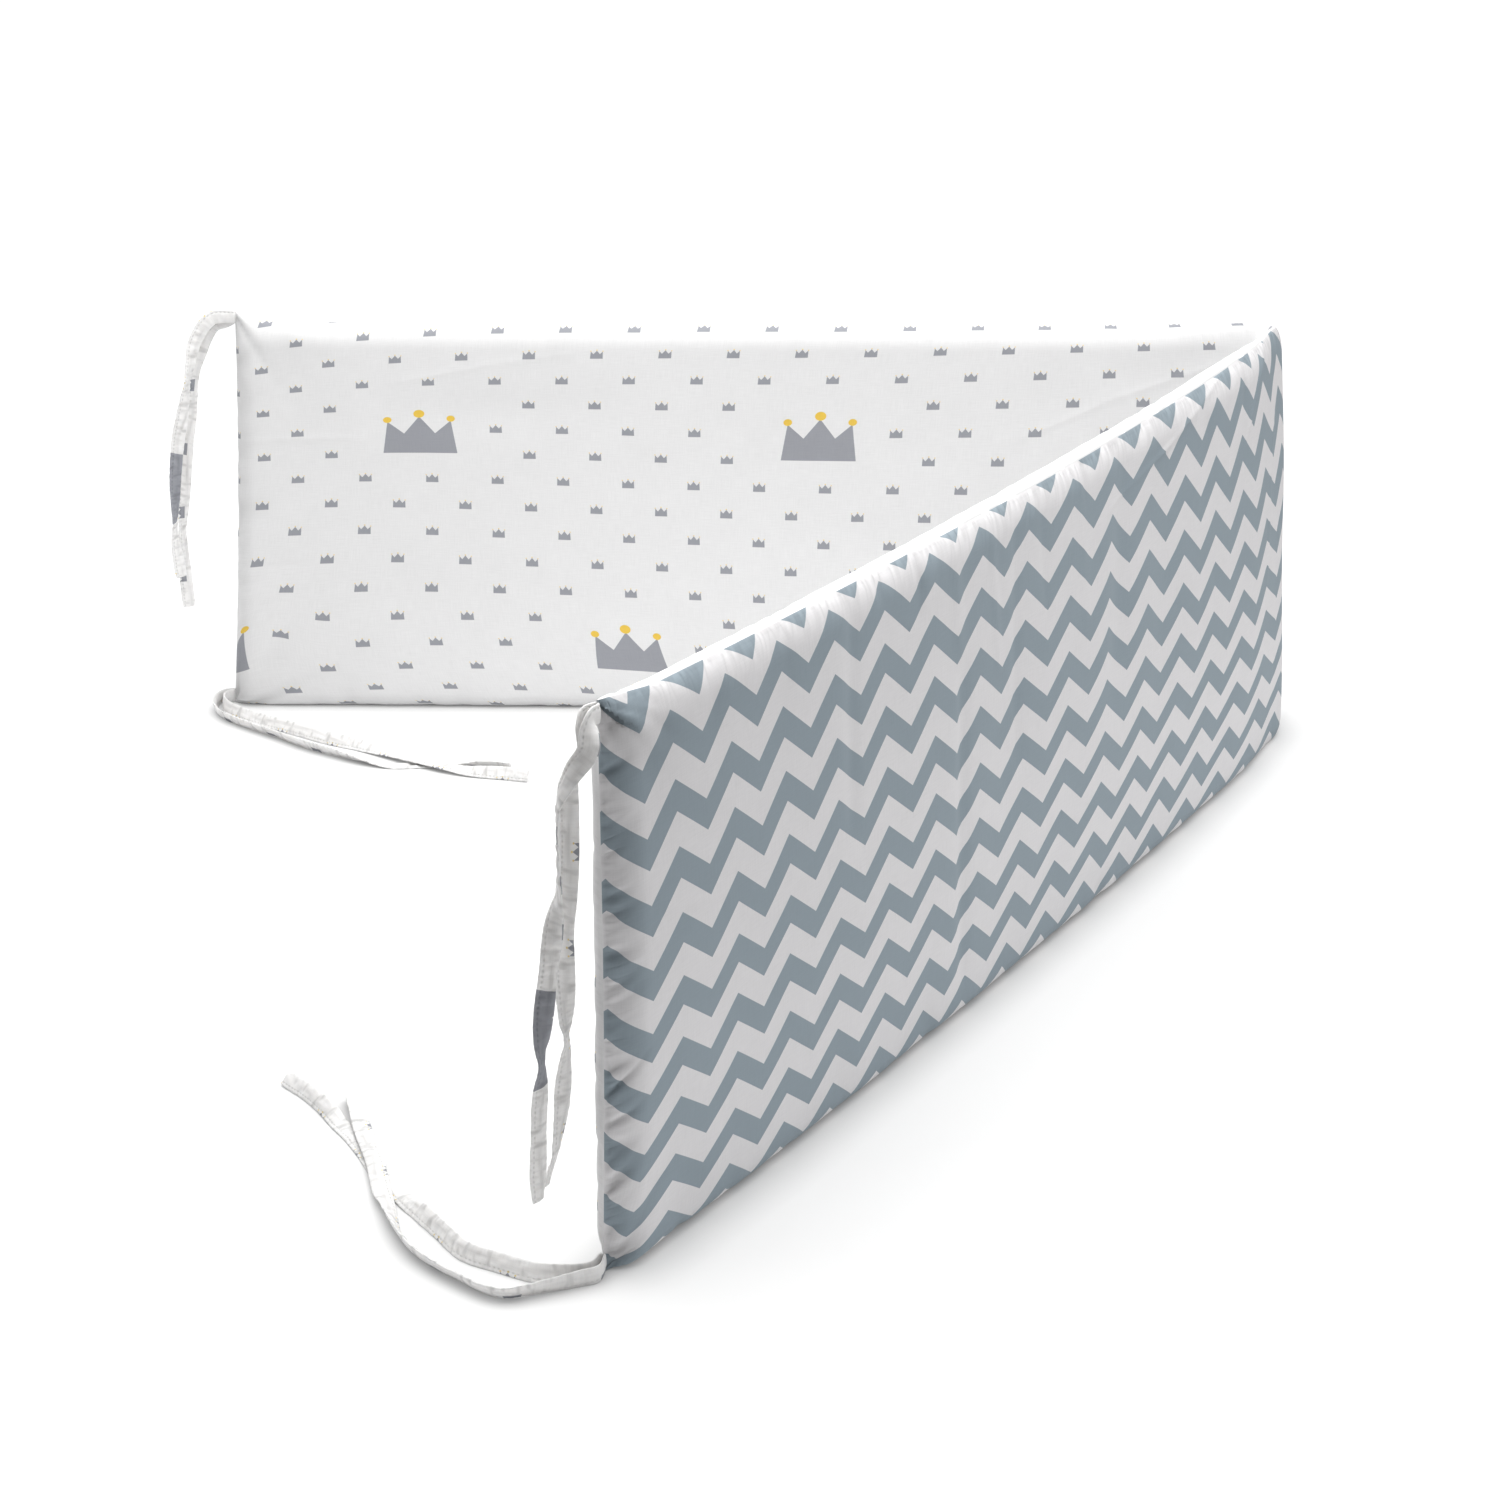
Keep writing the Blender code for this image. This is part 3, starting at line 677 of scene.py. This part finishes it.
def hanging_rows(name, limb, height):
    """A hanging tie from one tip to the other: x, y, z, the side that it faces."""
    def placed(x, y, z, facing):
        return x / 1000, y / 1000, z / 1000, facing

    front, back = HANGING_TAILS[name]
    rows = [placed(*row) for row in reversed(front)]
    rows += [(*place, facing) for place, facing in strip_turn(limb, height)]
    return rows + [placed(*row) for row in back]


def floor_rows(name, limb, height):
    """A tie on the floor from one tip to the other: x, y, height of its middle, roll."""
    def settled(x, y, lift, roll):
        lean = math.radians(roll)
        rest = STRIP_WIDTH / 2 * math.cos(lean) + STRIP_THICKNESS / 2 * math.sin(lean)
        return x / 1000, y / 1000, rest - SEAT_SINK + lift / 1000, roll

    first, second = FLOOR_TAILS[name]
    rows = [settled(*row) for row in reversed(first)]
    rows += [(place.x, place.y, height, 0.0) for place, _ in strip_turn(limb, height)]
    return rows + [settled(*row) for row in second]


def strip_frames(route, on_floor):
    """For each place on a route: the strip's width direction and its flat side's normal."""
    places = [Vector(row[:3]) for row in route]
    frames = []
    for i, row in enumerate(route):
        along = (places[min(i + 1, len(places) - 1)] - places[max(i - 1, 0)]).normalized()
        if on_floor:
            left = Vector((-along.y, along.x, 0.0)).normalized()
            roll = math.radians(row[3])
            facing = left * math.cos(roll) + Vector((0, 0, 1)) * math.sin(roll)
        else:
            facing = direction(math.radians(row[3]))
        normal = (facing - along * facing.dot(along)).normalized()
        frames.append((places[i], normal.cross(along), normal))
    return frames


def strip_section(s, length, corner, seed):
    """Points round a strip at distance s: across, off its middle, and round its skin."""
    half = STRIP_WIDTH / 2
    tip = min(s, length - s)
    wide = 1 - TIP_NARROWING[0] * bell(tip, TIP_NARROWING[1])
    wide -= EDGE_CRINKLE[0] * ridged(s / EDGE_CRINKLE[1], seed, 2.0)
    wide += FLARE[0] * bell(abs(s - corner) - FLARE[1], FLARE[2])
    loose = 1 - FLAT_CORNER[0] * bell(s - corner, FLAT_CORNER[1])
    crinkle = loose * (ridged(s / CRINKLE_PITCH, seed, 0.0) - 0.4)
    wave = loose * noise.noise(Vector((s / WAVE_PITCH, seed, 4.0)))
    section = []
    for k in range(STRIP_SIDES):
        angle = 2 * math.pi * k / STRIP_SIDES
        x = math.cos(angle)
        y = math.copysign(abs(math.sin(angle)) ** 0.75, math.sin(angle))
        edge_gap = half * (1 - x)
        lean = loose * noise.noise(Vector((s / LEAN_PITCH, x * 1.6, seed + 6)))
        full = 1 + (CRINKLE_SWELL * crinkle + LEAN_SWELL * lean) * (1 - x * x)
        thick = STRIP_THICKNESS / 2 * y * full
        groove = STITCH_DEPTH * bell(edge_gap - STITCH_INSET, STITCH_SPREAD)
        thick -= math.copysign(min(abs(thick) * 0.7, groove), y)
        bend = WAVE_BEND * wave * (1 - x * x) + CRINKLE_BEND * (crinkle + lean)
        section.append((x * half * wide, thick + bend, edge_gap if y >= 0 else -edge_gap))
    return section


def build_tie(name, rows, turn_row, on_floor, prints):
    """One folded and stitched strip, swept along its route and closed at both tips.
    turn_row is the row at the seam. prints holds, for the first and the second tail, where
    on the flat cloth the strip's stitched edge lies at the corner."""
    frames = strip_frames(smooth_route(rows, STRIP_STEP), on_floor)
    lengths = running_length([place for place, _, _ in frames])
    middle = Vector(rows[turn_row][:3])
    corner = lengths[min(range(len(frames)), key=lambda i: (frames[i][0] - middle).length)]
    seed = 10.0 + len(name) * 1.7
    vertices, places, seams, folds = [], [], [], []
    for (place, across, normal), s in zip(frames, lengths):
        cloth_u, cloth_v = prints[0 if s < corner else 1]
        loose = 1 - 0.9 * bell(s - corner, SHADE_AND_CRINKLE_HOLD)
        # A painted shade line, as of a long fold that has no relief, wanders between the strip's
        # edges and deepens and fades
        fold_at = 0.006 + 0.004 * noise.noise(Vector((s / 0.030, seed, 8.0)))
        long_shade_depth = max(0.0, 0.5 + 0.7 * noise.noise(Vector((s / 0.022, seed, 9.0))))
        for x, y, skin in strip_section(s, lengths[-1], corner, seed):
            point = place + across * x + normal * y
            point.z = max(point.z, 0.0)
            vertices.append(point)
            places.append((cloth_u + s - corner, cloth_v + skin))
            seams.append((abs(skin), s))
            deep = loose * long_shade_depth * bell(abs(skin) - fold_at, LONG_SHADE_WIDTH)
            folds.append((deep, loose))
    faces = []
    n = STRIP_SIDES
    for i in range(len(frames) - 1):
        for k in range(n):
            a, b = i * n + k, i * n + (k + 1) % n
            faces.append((a, b, b + n, a + n))
    faces.append(tuple(range(n))[::-1])
    faces.append(tuple(range(len(vertices) - n, len(vertices))))
    tie = new_object(name, vertices, faces, {"Cloth": places, "Seam": seams, "Folds": folds})
    tie["strip_length"] = lengths[-1]
    return tie


# ---------------------------------------------------------------- materials
WHITE_COTTON = (0.800, 0.800, 0.805, 1.0)
# The ties are of the crown cotton; their white is painted lighter than the pad's, as painted light
TIE_LIT_WHITE = (0.885, 0.878, 0.872, 1.0)
ZIGZAG_WHITE = (0.825, 0.815, 0.828, 1.0)
ZIGZAG_BLUE = (0.316, 0.378, 0.425, 1.0)
CROWN_GREY = (0.330, 0.340, 0.372, 1.0)
CROWN_YELLOW = (0.820, 0.560, 0.090, 1.0)
TIP_YELLOW = (0.830, 0.680, 0.330, 1.0)
TABLE_WHITE = (0.62, 0.62, 0.62, 1.0)
# The colour of the table's painted contact shadow
PAINTED_SHADOW_BLACK = (0.0, 0.0, 0.0, 1.0)

ZIGZAG_PERIOD = 0.0556    # along the pad
ZIGZAG_PITCH = 0.0352     # from one band to the next
ZIGZAG_RISE = 0.0205      # from a valley up to a peak
ZIGZAG_BLUE_SHARE = 0.475
ZIGZAG_START = (0.6011, 0.0059)

SMALL_PITCH = (0.0500, 0.0204)
SMALL_START = (-0.52484, 0.02829)
SMALL_FOOT = 0.0032       # how far the motif's foot lies below its middle
BIG_PITCH = (0.3016, 0.1632)
BIG_START = (-0.6328, 0.0645)
BIG_FOOT = 0.0155
BIG_CLEAR = (0.044, 0.027)      # no small crown's middle lies this near a large one's
BIG_STRETCH = (-0.710, 0.0126)  # left of this u the large crowns stand this much nearer
INK_EDGE = 0.00022        # softness of the printed outlines

# Columns: half width, peak, valley and side peak heights, where the valley and the side
# peak stand (shares of the half width), radii of the middle and the side ball. In mm.
SMALL_CROWN = (4.7, 6.3, 3.6, 5.6, 0.50, 0.94, 0.62, 0.55)
BIG_CROWN = (28.0, 31.0, 16.5, 27.0, 0.42, 0.86, 4.2, 3.2)
BALL_SQUASH = 1.25

THREAD = (0.0006, 0.012)  # a slub's width and length
THREAD_TONE = 0.11
THREAD_ROUGH = (0.08, 0.74)
BLOTCH_SIZE = 0.03
BLOTCH_TONE = 0.04
WEAVE_PITCH = 0.00042
WEAVE_RELIEF = 0.00003
WEAVE_SHARE = 0.25        # the even weave's part in the relief, beside the slubs
FOLD_SHADE = 0.30         # how much painted shade darkens the cloth in the hollows of its folds
GATHER_SIZE = (0.0075, 0.030)   # a fine gather's width and length
GATHER_SHARPNESS = 7.0
GATHER_LEAN = -0.35       # how far the fine gathers lean as they run in
GATHER_REACH = 0.008
GATHER_RELIEF = 0.0005
CRINKLE_SIZE = (0.0042, 0.011)
CRINKLE_RELIEF = 0.0009
TIE_SHADE_REACH = 0.006   # how near another surface must be for painted shade on a tie
STITCH_WIDTH = 0.0005
STITCH_LENGTH = 0.0028
STITCH_RELIEF = 0.00030


def plug(socket, value):
    """Sets a socket to a value, or links what a node puts out to it."""
    if isinstance(value, Signal):
        socket.id_data.links.new(value.socket, socket)
    else:
        socket.default_value = value


class Signal:
    """What a node puts out. Numbers are joined by ordinary arithmetic."""

    def __init__(self, socket):
        self.socket = socket

    def apply(self, operation, *others, clamp=False):
        """The outcome of a math node on this number and the others."""
        node = self.socket.id_data.nodes.new("ShaderNodeMath")
        node.operation = operation
        node.use_clamp = clamp
        for socket, value in zip(node.inputs, (self, *others)):
            plug(socket, value)
        return Signal(node.outputs[0])

    def inside(self, softness=INK_EDGE):
        """1 where a distance is positive, 0 where it is negative, with a soft edge."""
        return self.apply("MULTIPLY_ADD", 1 / softness, 0.5, clamp=True)

    def __add__(self, other):
        return self.apply("ADD", other)

    def __sub__(self, other):
        return self.apply("SUBTRACT", other)

    def __rsub__(self, other):
        return self.apply("MULTIPLY_ADD", -1.0, other)

    def __mul__(self, other):
        return self.apply("MULTIPLY", other)

    def __truediv__(self, other):
        return self.apply("DIVIDE", other)

    def __abs__(self):
        return self.apply("ABSOLUTE")


class Builder:
    """Adds nodes to one material."""

    def __init__(self, name):
        self.material = bpy.data.materials.new(name)
        self.material.use_nodes = True
        self.tree = self.material.node_tree
        self.shader = self.tree.nodes["Principled BSDF"]

    def add(self, kind, inputs):
        """A new node of a kind, with the inputs that are named."""
        node = self.tree.nodes.new("ShaderNode" + kind)
        for name, value in inputs.items():
            plug(node.inputs[name], value)
        return node

    def shade(self, inputs):
        """Sets the shader's inputs by their names."""
        for name, value in inputs.items():
            plug(self.shader.inputs[name], value)

    def split(self, socket):
        """The three numbers of a place."""
        node = self.add("SeparateXYZ", {"Vector": Signal(socket)})
        return [Signal(number) for number in node.outputs]

    def place_on(self, map_name):
        """The two numbers of one of the piece's maps, in metres."""
        uv = self.add("UVMap", {})
        uv.uv_map = map_name
        return self.split(uv.outputs[0])[:2]

    def noise(self, u, v, size, seed, detail=2.0):
        """Noise from 0 to 1, with blotches of the given sizes in metres."""
        place = self.add("CombineXYZ", {"X": u / size[0], "Y": v / size[1], "Z": seed})
        node = self.add("TexNoise", {"Vector": Signal(place.outputs[0]), "Scale": 1.0,
                                     "Detail": detail})
        return Signal(node.outputs[0])

    def mix(self, share, a, b):
        """A colour between two."""
        node = self.tree.nodes.new("ShaderNodeMix")
        node.data_type = "RGBA"
        for place, value in ((0, share), (6, a), (7, b)):
            plug(node.inputs[place], value)
        return Signal(node.outputs[2])

    def openness(self, reach):
        """How open the surroundings are within a reach in metres: 1 where nothing is near."""
        return Signal(self.add("AmbientOcclusion", {"Distance": reach}).outputs["AO"])

    def finish_cloth(self, u, v, colour, folds, relief):
        """Weave, slubs, small folds with painted shade in their hollows, and the soft sheen of
        printed cotton. folds runs from 0 to 1 in the hollows, where painted shade darkens the
        colour, and relief is the folds' height in metres."""
        width, length = THREAD
        threads = self.noise(u, v, (width, length), 1.0) + self.noise(u, v, (length, width), 2.0)
        blotch = self.noise(u, v, (BLOTCH_SIZE, BLOTCH_SIZE), 3.0)
        tone = (threads - 1.0) * THREAD_TONE + 1.0
        tone = tone * ((blotch - 0.5) * BLOTCH_TONE + 1.0)
        # Painted shade: the colour is darkened in the hollows, by the deeper of the material's own
        # folds and the piece's Folds map
        deep, _ = self.place_on("Folds")
        tone = tone * (folds.apply("MAXIMUM", deep) * -FOLD_SHADE + 1.0)
        toned = self.add("VectorMath", {})
        toned.operation = "SCALE"
        plug(toned.inputs[0], colour)
        plug(toned.inputs["Scale"], tone)
        warp, weft = ((way * (math.pi / WEAVE_PITCH)).apply("SINE") for way in (u, v))
        height = warp * weft * WEAVE_SHARE + threads
        height = height * WEAVE_RELIEF + relief
        bump = self.add("Bump", {"Distance": 1.0, "Strength": 1.0, "Height": height})
        self.shade({"Base Color": Signal(toned.outputs[0]),
                    "Roughness": threads * THREAD_ROUGH[0] + THREAD_ROUGH[1],
                    "Specular IOR Level": 0.20, "Sheen Weight": 0.06,
                    "Sheen Roughness": 0.45, "Normal": Signal(bump.outputs[0])})

    def gathers(self, strength):
        """Fine creases that run in from the seams and die out on the face: how deep each
        point lies, from 0 to 1, which darkens the colour as painted shade, and the height."""
        gap, along = self.place_on("Seam")
        folds = self.noise(gap * GATHER_LEAN + along, gap, GATHER_SIZE, 51.0, 1.0)
        valley = abs(folds - 0.5).apply("MULTIPLY_ADD", -GATHER_SHARPNESS, 1.0, clamp=True)
        fade = (gap / -GATHER_REACH).apply("EXPONENT")
        fade = fade * gap.apply("DIVIDE", GATHER_REACH / 3, clamp=True)
        # Painted shade in the gathers' hollows
        depth = valley * fade * strength
        return depth, depth * -GATHER_RELIEF

    def crinkles(self):
        """Crosswise creases all along a narrow strip, and its row of stitches: how deep
        each point lies, from 0 to 1, which darkens the colour as painted shade in the creases and
        where another surface is near, and darker along the stitch line; and the height."""
        gap, along = self.place_on("Seam")
        _, loose = self.place_on("Folds")
        folds = self.noise(along, gap, CRINKLE_SIZE, 61.0, 1.0)
        # Painted shade in the crinkles' hollows, and where another surface lies near the tie
        depth = folds.apply("MULTIPLY_ADD", -4.0, 2.0, clamp=True) * loose
        depth = depth.apply("ADD", 1.0 - self.openness(TIE_SHADE_REACH), clamp=True)
        off = (gap - STITCH_INSET) / STITCH_WIDTH
        line = (off * off * -1.0).apply("EXPONENT")
        beat = (along * (2 * math.pi / STITCH_LENGTH)).apply("SINE")
        stitch = line * (beat * 0.4 + 0.6)
        height = stitch * -STITCH_RELIEF + folds * loose * CRINKLE_RELIEF
        return depth.apply("MAXIMUM", stitch * 0.8), height


def lattice(u, v, pitch, start):
    """The place from the middle of the nearest motif of a half-drop repeat."""
    down = (v - start[1]) / pitch[1]
    row = down.apply("ROUND")
    along = (u - start[0]) / pitch[0] - row.apply("FLOORED_MODULO", 2.0) * 0.5
    return (along - along.apply("ROUND")) * pitch[0], (down - row) * pitch[1]


def crown_motif(x, y, sizes):
    """A plain three-peaked crown standing on y = 0: its body's and its balls' shares."""
    half, peak, valley, side_peak, valley_at, side_at, ball, side_ball = sizes
    half, peak, valley, side_peak = (n / 1000 for n in (half, peak, valley, side_peak))
    ball, side_ball = ball / 1000, side_ball / 1000
    out = abs(x) / half
    slope = (side_peak - valley) / (side_at - valley_at)
    fall = side_peak / (1 - side_at)
    inner = out * ((valley - peak) / valley_at) + peak
    outer = out * slope + (valley - slope * valley_at)
    top = inner.apply("MAXIMUM", outer).apply("MINIMUM", out * -fall + fall)
    body = (top - y).apply("MINIMUM", y).inside()
    balls = []
    for at, centre, radius in ((0.0, peak + ball * 0.55, ball),
                               (side_at * half, side_peak + side_ball * 0.5, side_ball)):
        dx = abs(x) - at
        dy = (y - centre) * BALL_SQUASH
        balls.append((radius - (dx * dx + dy * dy).apply("SQRT")).inside())
    return body, balls[0].apply("MAXIMUM", balls[1])


def wobbled(nodes, u, v, size, reach):
    """The cloth's place with the print's slight unevenness."""
    first, second = (nodes.noise(u, v, (size, size), seed, 1.0) for seed in (21.0, 37.0))
    return (first - 0.5) * reach + u, (second - 0.5) * reach + v


def stretched(u):
    """u in the large crowns' even repeat, which the print draws together at one end."""
    limit, shift = BIG_STRETCH
    return u - u.apply("LESS_THAN", limit) * shift


def crown_print(name, white, crinkled):
    """White cotton printed with small grey crowns and a few large ones."""
    nodes = Builder(name)
    u, v = nodes.place_on("Cloth")
    pu, pv = wobbled(nodes, u, v, 0.09, 0.0016)
    x, y = lattice(pu, pv, SMALL_PITCH, SMALL_START)
    big_x, big_y = lattice(stretched(pu), pv, BIG_PITCH, BIG_START)
    # Where the small crown's own middle lies from the nearest large one
    near_x, near_y = lattice(stretched(pu - x), pv - y, BIG_PITCH, BIG_START)
    clear_x = abs(near_x).apply("GREATER_THAN", BIG_CLEAR[0])
    clear_y = abs(near_y).apply("GREATER_THAN", BIG_CLEAR[1])
    shown = clear_x.apply("MAXIMUM", clear_y)
    small_body, small_tips = crown_motif(x, y + SMALL_FOOT, SMALL_CROWN)
    big_body, big_balls = crown_motif(big_x, big_y + BIG_FOOT, BIG_CROWN)
    colour = nodes.mix(small_tips * shown, white, TIP_YELLOW)
    colour = nodes.mix(small_body * shown, colour, CROWN_GREY)
    colour = nodes.mix(big_body, colour, CROWN_GREY)
    colour = nodes.mix(big_balls, colour, CROWN_YELLOW)
    folds, relief = nodes.crinkles() if crinkled else nodes.gathers(0.35)
    nodes.finish_cloth(u, v, colour, folds, relief)
    return nodes


def crown_cotton(name):
    """The cotton of the pad's inside."""
    return crown_print(name, WHITE_COTTON, crinkled=False).material


def tie_cotton(name):
    """The ties' cotton: crinkled all along, and thin, so that a little light passes. Its white is
    painted lighter than the pad's for the light the thin strips catch.
    """
    nodes = crown_print(name, TIE_LIT_WHITE, crinkled=True)
    nodes.shade({"Subsurface Weight": 0.35, "Subsurface Radius": (1.0, 0.96, 0.92),
                 "Subsurface Scale": 0.003})
    return nodes.material


def zigzag_cotton(name):
    """White cotton printed with grey-blue zigzag bands."""
    nodes = Builder(name)
    u, v = nodes.place_on("Cloth")
    pu, pv = wobbled(nodes, u, v, 0.08, 0.0012)
    climb = (pu - ZIGZAG_START[0]).apply("PINGPONG", ZIGZAG_PERIOD / 2)
    level = pv - ZIGZAG_START[1] - climb * (ZIGZAG_RISE / (ZIGZAG_PERIOD / 2))
    half = ZIGZAG_PITCH * ZIGZAG_BLUE_SHARE / 2
    off = abs(level.apply("FLOORED_MODULO", ZIGZAG_PITCH) - half)
    blue = (half - off).inside(INK_EDGE * 1.4)
    folds, relief = nodes.gathers(1.0)
    nodes.finish_cloth(u, v, nodes.mix(blue, ZIGZAG_WHITE, ZIGZAG_BLUE), folds, relief)
    return nodes.material


def floor_white(name):
    """The top of a light table: milky plastic, lit from below inside a wedge, with a painted
    contact shadow that dims its colour and glow near the cloth.
    """
    nodes = Builder(name)
    x, y, _ = nodes.split(nodes.add("NewGeometry", {}).outputs["Position"])
    near, far, glow_near, glow_far = TABLE_GLOW
    away = (x * x + y * y).apply("SQRT")
    share = (away - near).apply("DIVIDE", far - near, clamp=True)
    glow = share * (glow_far - glow_near) + glow_near
    half, widening, front, fade = TABLE_WEDGE
    spare = (y * widening + half - abs(x)).apply("MINIMUM", y - front)
    lit = spare.apply("MULTIPLY_ADD", 1 / fade, 1.0, clamp=True)
    # Painted contact shadow: the table's colour and glow are dimmed where the cloth is near
    open_share = nodes.openness(CONTACT_REACH).apply("POWER", CONTACT_DEPTH)
    nodes.shade({"Base Color": nodes.mix(open_share, PAINTED_SHADOW_BLACK, TABLE_WHITE),
                 "Roughness": 0.9, "Specular IOR Level": 0.0,
                 "Emission Color": (1.0, 1.0, 1.0, 1.0),
                 "Emission Strength": glow * open_share * lit})
    return nodes.material


# ---------------------------------------------------------------- studio
TABLE_GLOW = (0.30, 1.50, 0.37, 0.91)   # from and to radius (m), glow inside and outside
# The lit part: half width at y = 0, how it widens with y, its front edge, how far
# beyond its edges the light dies out
TABLE_WEDGE = (0.56, 0.264, -0.60, 0.20)
CONTACT_REACH = 0.030     # how far from the cloth the table is dimmed by painted contact shadow
CONTACT_DEPTH = 0.45      # how strongly the painted contact shadow dims it
TABLE_REACH = 40.0
SURROUND_COLOUR = (0.985, 0.99, 1.0, 1.0)
SURROUND_BRIGHT_SIDE = (0.2, 0.98, 0.0)
SURROUND = (-1.0, 1.0, 0.08, 0.50)      # how far to that side, and how bright it is there
LIGHT_COLOUR = (1.0, 0.995, 0.985)
# Columns: name, size, watts, place, turn in degrees from shining down.
PANELS = (
    ("softbox", (1.8, 1.2), 23.5, (0.05, 0.0, 1.15), (0.0, 0.0, 0.0)),
    ("side_panel", (0.4, 0.3), 0.8, (-0.95, 0.70, 0.22), (0.0, -90.0, -15.0)),
)
CAMERA_PLACE = (0.018, -1.525, 0.719)
CAMERA_DIP = 21.4         # degrees below level
CAMERA_LENS = 63.6        # mm, on a sensor 36 mm wide


def stand(name, data, place, turn):
    """A new light or camera at a place, turned by angles in degrees."""
    thing = bpy.data.objects.new(name, data)
    thing.location = place
    thing.rotation_euler = [math.radians(a) for a in turn]
    bpy.context.collection.objects.link(thing)
    return thing


def add_panel(name, size, watts, place, turn):
    """A soft white light."""
    panel = bpy.data.lights.new(name, "AREA")
    panel.shape = "RECTANGLE"
    panel.size, panel.size_y = size
    panel.energy = watts
    panel.color = LIGHT_COLOUR
    stand(name, panel, place, turn)


def build_floor():
    """The lit white table."""
    corners = [(x * TABLE_REACH, y * TABLE_REACH, 0)
               for x, y in ((-1, -1), (1, -1), (1, 1), (-1, 1))]
    floor = new_object("floor", corners, [(0, 1, 2, 3)], {})
    floor.data.materials.append(floor_white("floor_white"))


def build_surround():
    """A dim white surround, brighter behind the part."""
    world = bpy.data.worlds.new("studio")
    world.use_nodes = True
    nodes = world.node_tree.nodes
    towards = nodes.new("ShaderNodeTexCoord")
    side = nodes.new("ShaderNodeVectorMath")
    side.operation = "DOT_PRODUCT"
    plug(side.inputs[0], Signal(towards.outputs["Generated"]))
    plug(side.inputs[1], SURROUND_BRIGHT_SIDE)
    shade = nodes.new("ShaderNodeMapRange")
    plug(shade.inputs["Value"], Signal(side.outputs["Value"]))
    for socket, value in zip(("From Min", "From Max", "To Min", "To Max"), SURROUND):
        plug(shade.inputs[socket], value)
    background = nodes["Background"]
    plug(background.inputs["Color"], SURROUND_COLOUR)
    plug(background.inputs["Strength"], Signal(shade.outputs[0]))
    bpy.context.scene.world = world


def build_camera():
    """The photograph's view: a long lens from in front and above."""
    data = bpy.data.cameras.new("camera")
    data.sensor_width = 36.0
    data.lens = CAMERA_LENS
    turn = (90 - CAMERA_DIP, 0.0, 0.0)
    bpy.context.scene.camera = stand("camera", data, CAMERA_PLACE, turn)


# ---------------------------------------------------------------- assembly
def dress_pad():
    """The two covers, which stand for the CAD's filled pad."""
    for name, side, material, slot in (
            ("cover_crown", CROWN_SIDE, crown_cotton, "crown_cotton"),
            ("cover_zigzag", ZIGZAG_SIDE, zigzag_cotton, "zigzag_cotton")):
        cover = build_cover(name, side)
        cover.data.materials.append(material(slot))
        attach(cover, "root")
        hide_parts("pad")


# Columns: node, limb, height of the tie's middle, then u and v (mm) at the corner of where
# its two tails lie on the flat cloth.
TIES = (
    ("tie_far_top", "far", EAR_TURN, (-479.3, 51.5), (-745.0, 30.5)),
    ("tie_near_top", "near", HIGH_TURN, (-455.5, 56.5), (-605.0, 38.3)),
    ("tie_far_bottom", "far", LOW_TURN, (-430.0, 29.5), (-460.0, 9.0)),
    ("tie_near_bottom", "near", LOW_TURN, (-420.0, 29.0), (-452.0, 9.5)),
)


def dress_ties():
    """The four folded strips."""
    material = tie_cotton("tie_cotton")
    for node, limb, height, *prints in TIES:
        on_floor = node in FLOOR_TAILS
        tails = FLOOR_TAILS if on_floor else HANGING_TAILS
        rows = (floor_rows if on_floor else hanging_rows)(node, limb, height)
        turn_row = len(tails[node][0]) + 2
        prints = [(u / 1000, v / 1000) for u, v in prints]
        tie = build_tie("strip" + node[3:], rows, turn_row, on_floor, prints)
        tie.data.materials.append(material)
        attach(tie, "root")
        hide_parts(node)


bpy.context.scene.view_settings.view_transform = "Standard"
for start_object in [o for o in bpy.data.objects if o.type in ("LIGHT", "CAMERA")]:
    bpy.data.objects.remove(start_object)
dress_pad()
dress_ties()
build_floor()
build_surround()
for panel_row in PANELS:
    add_panel(*panel_row)
build_camera()
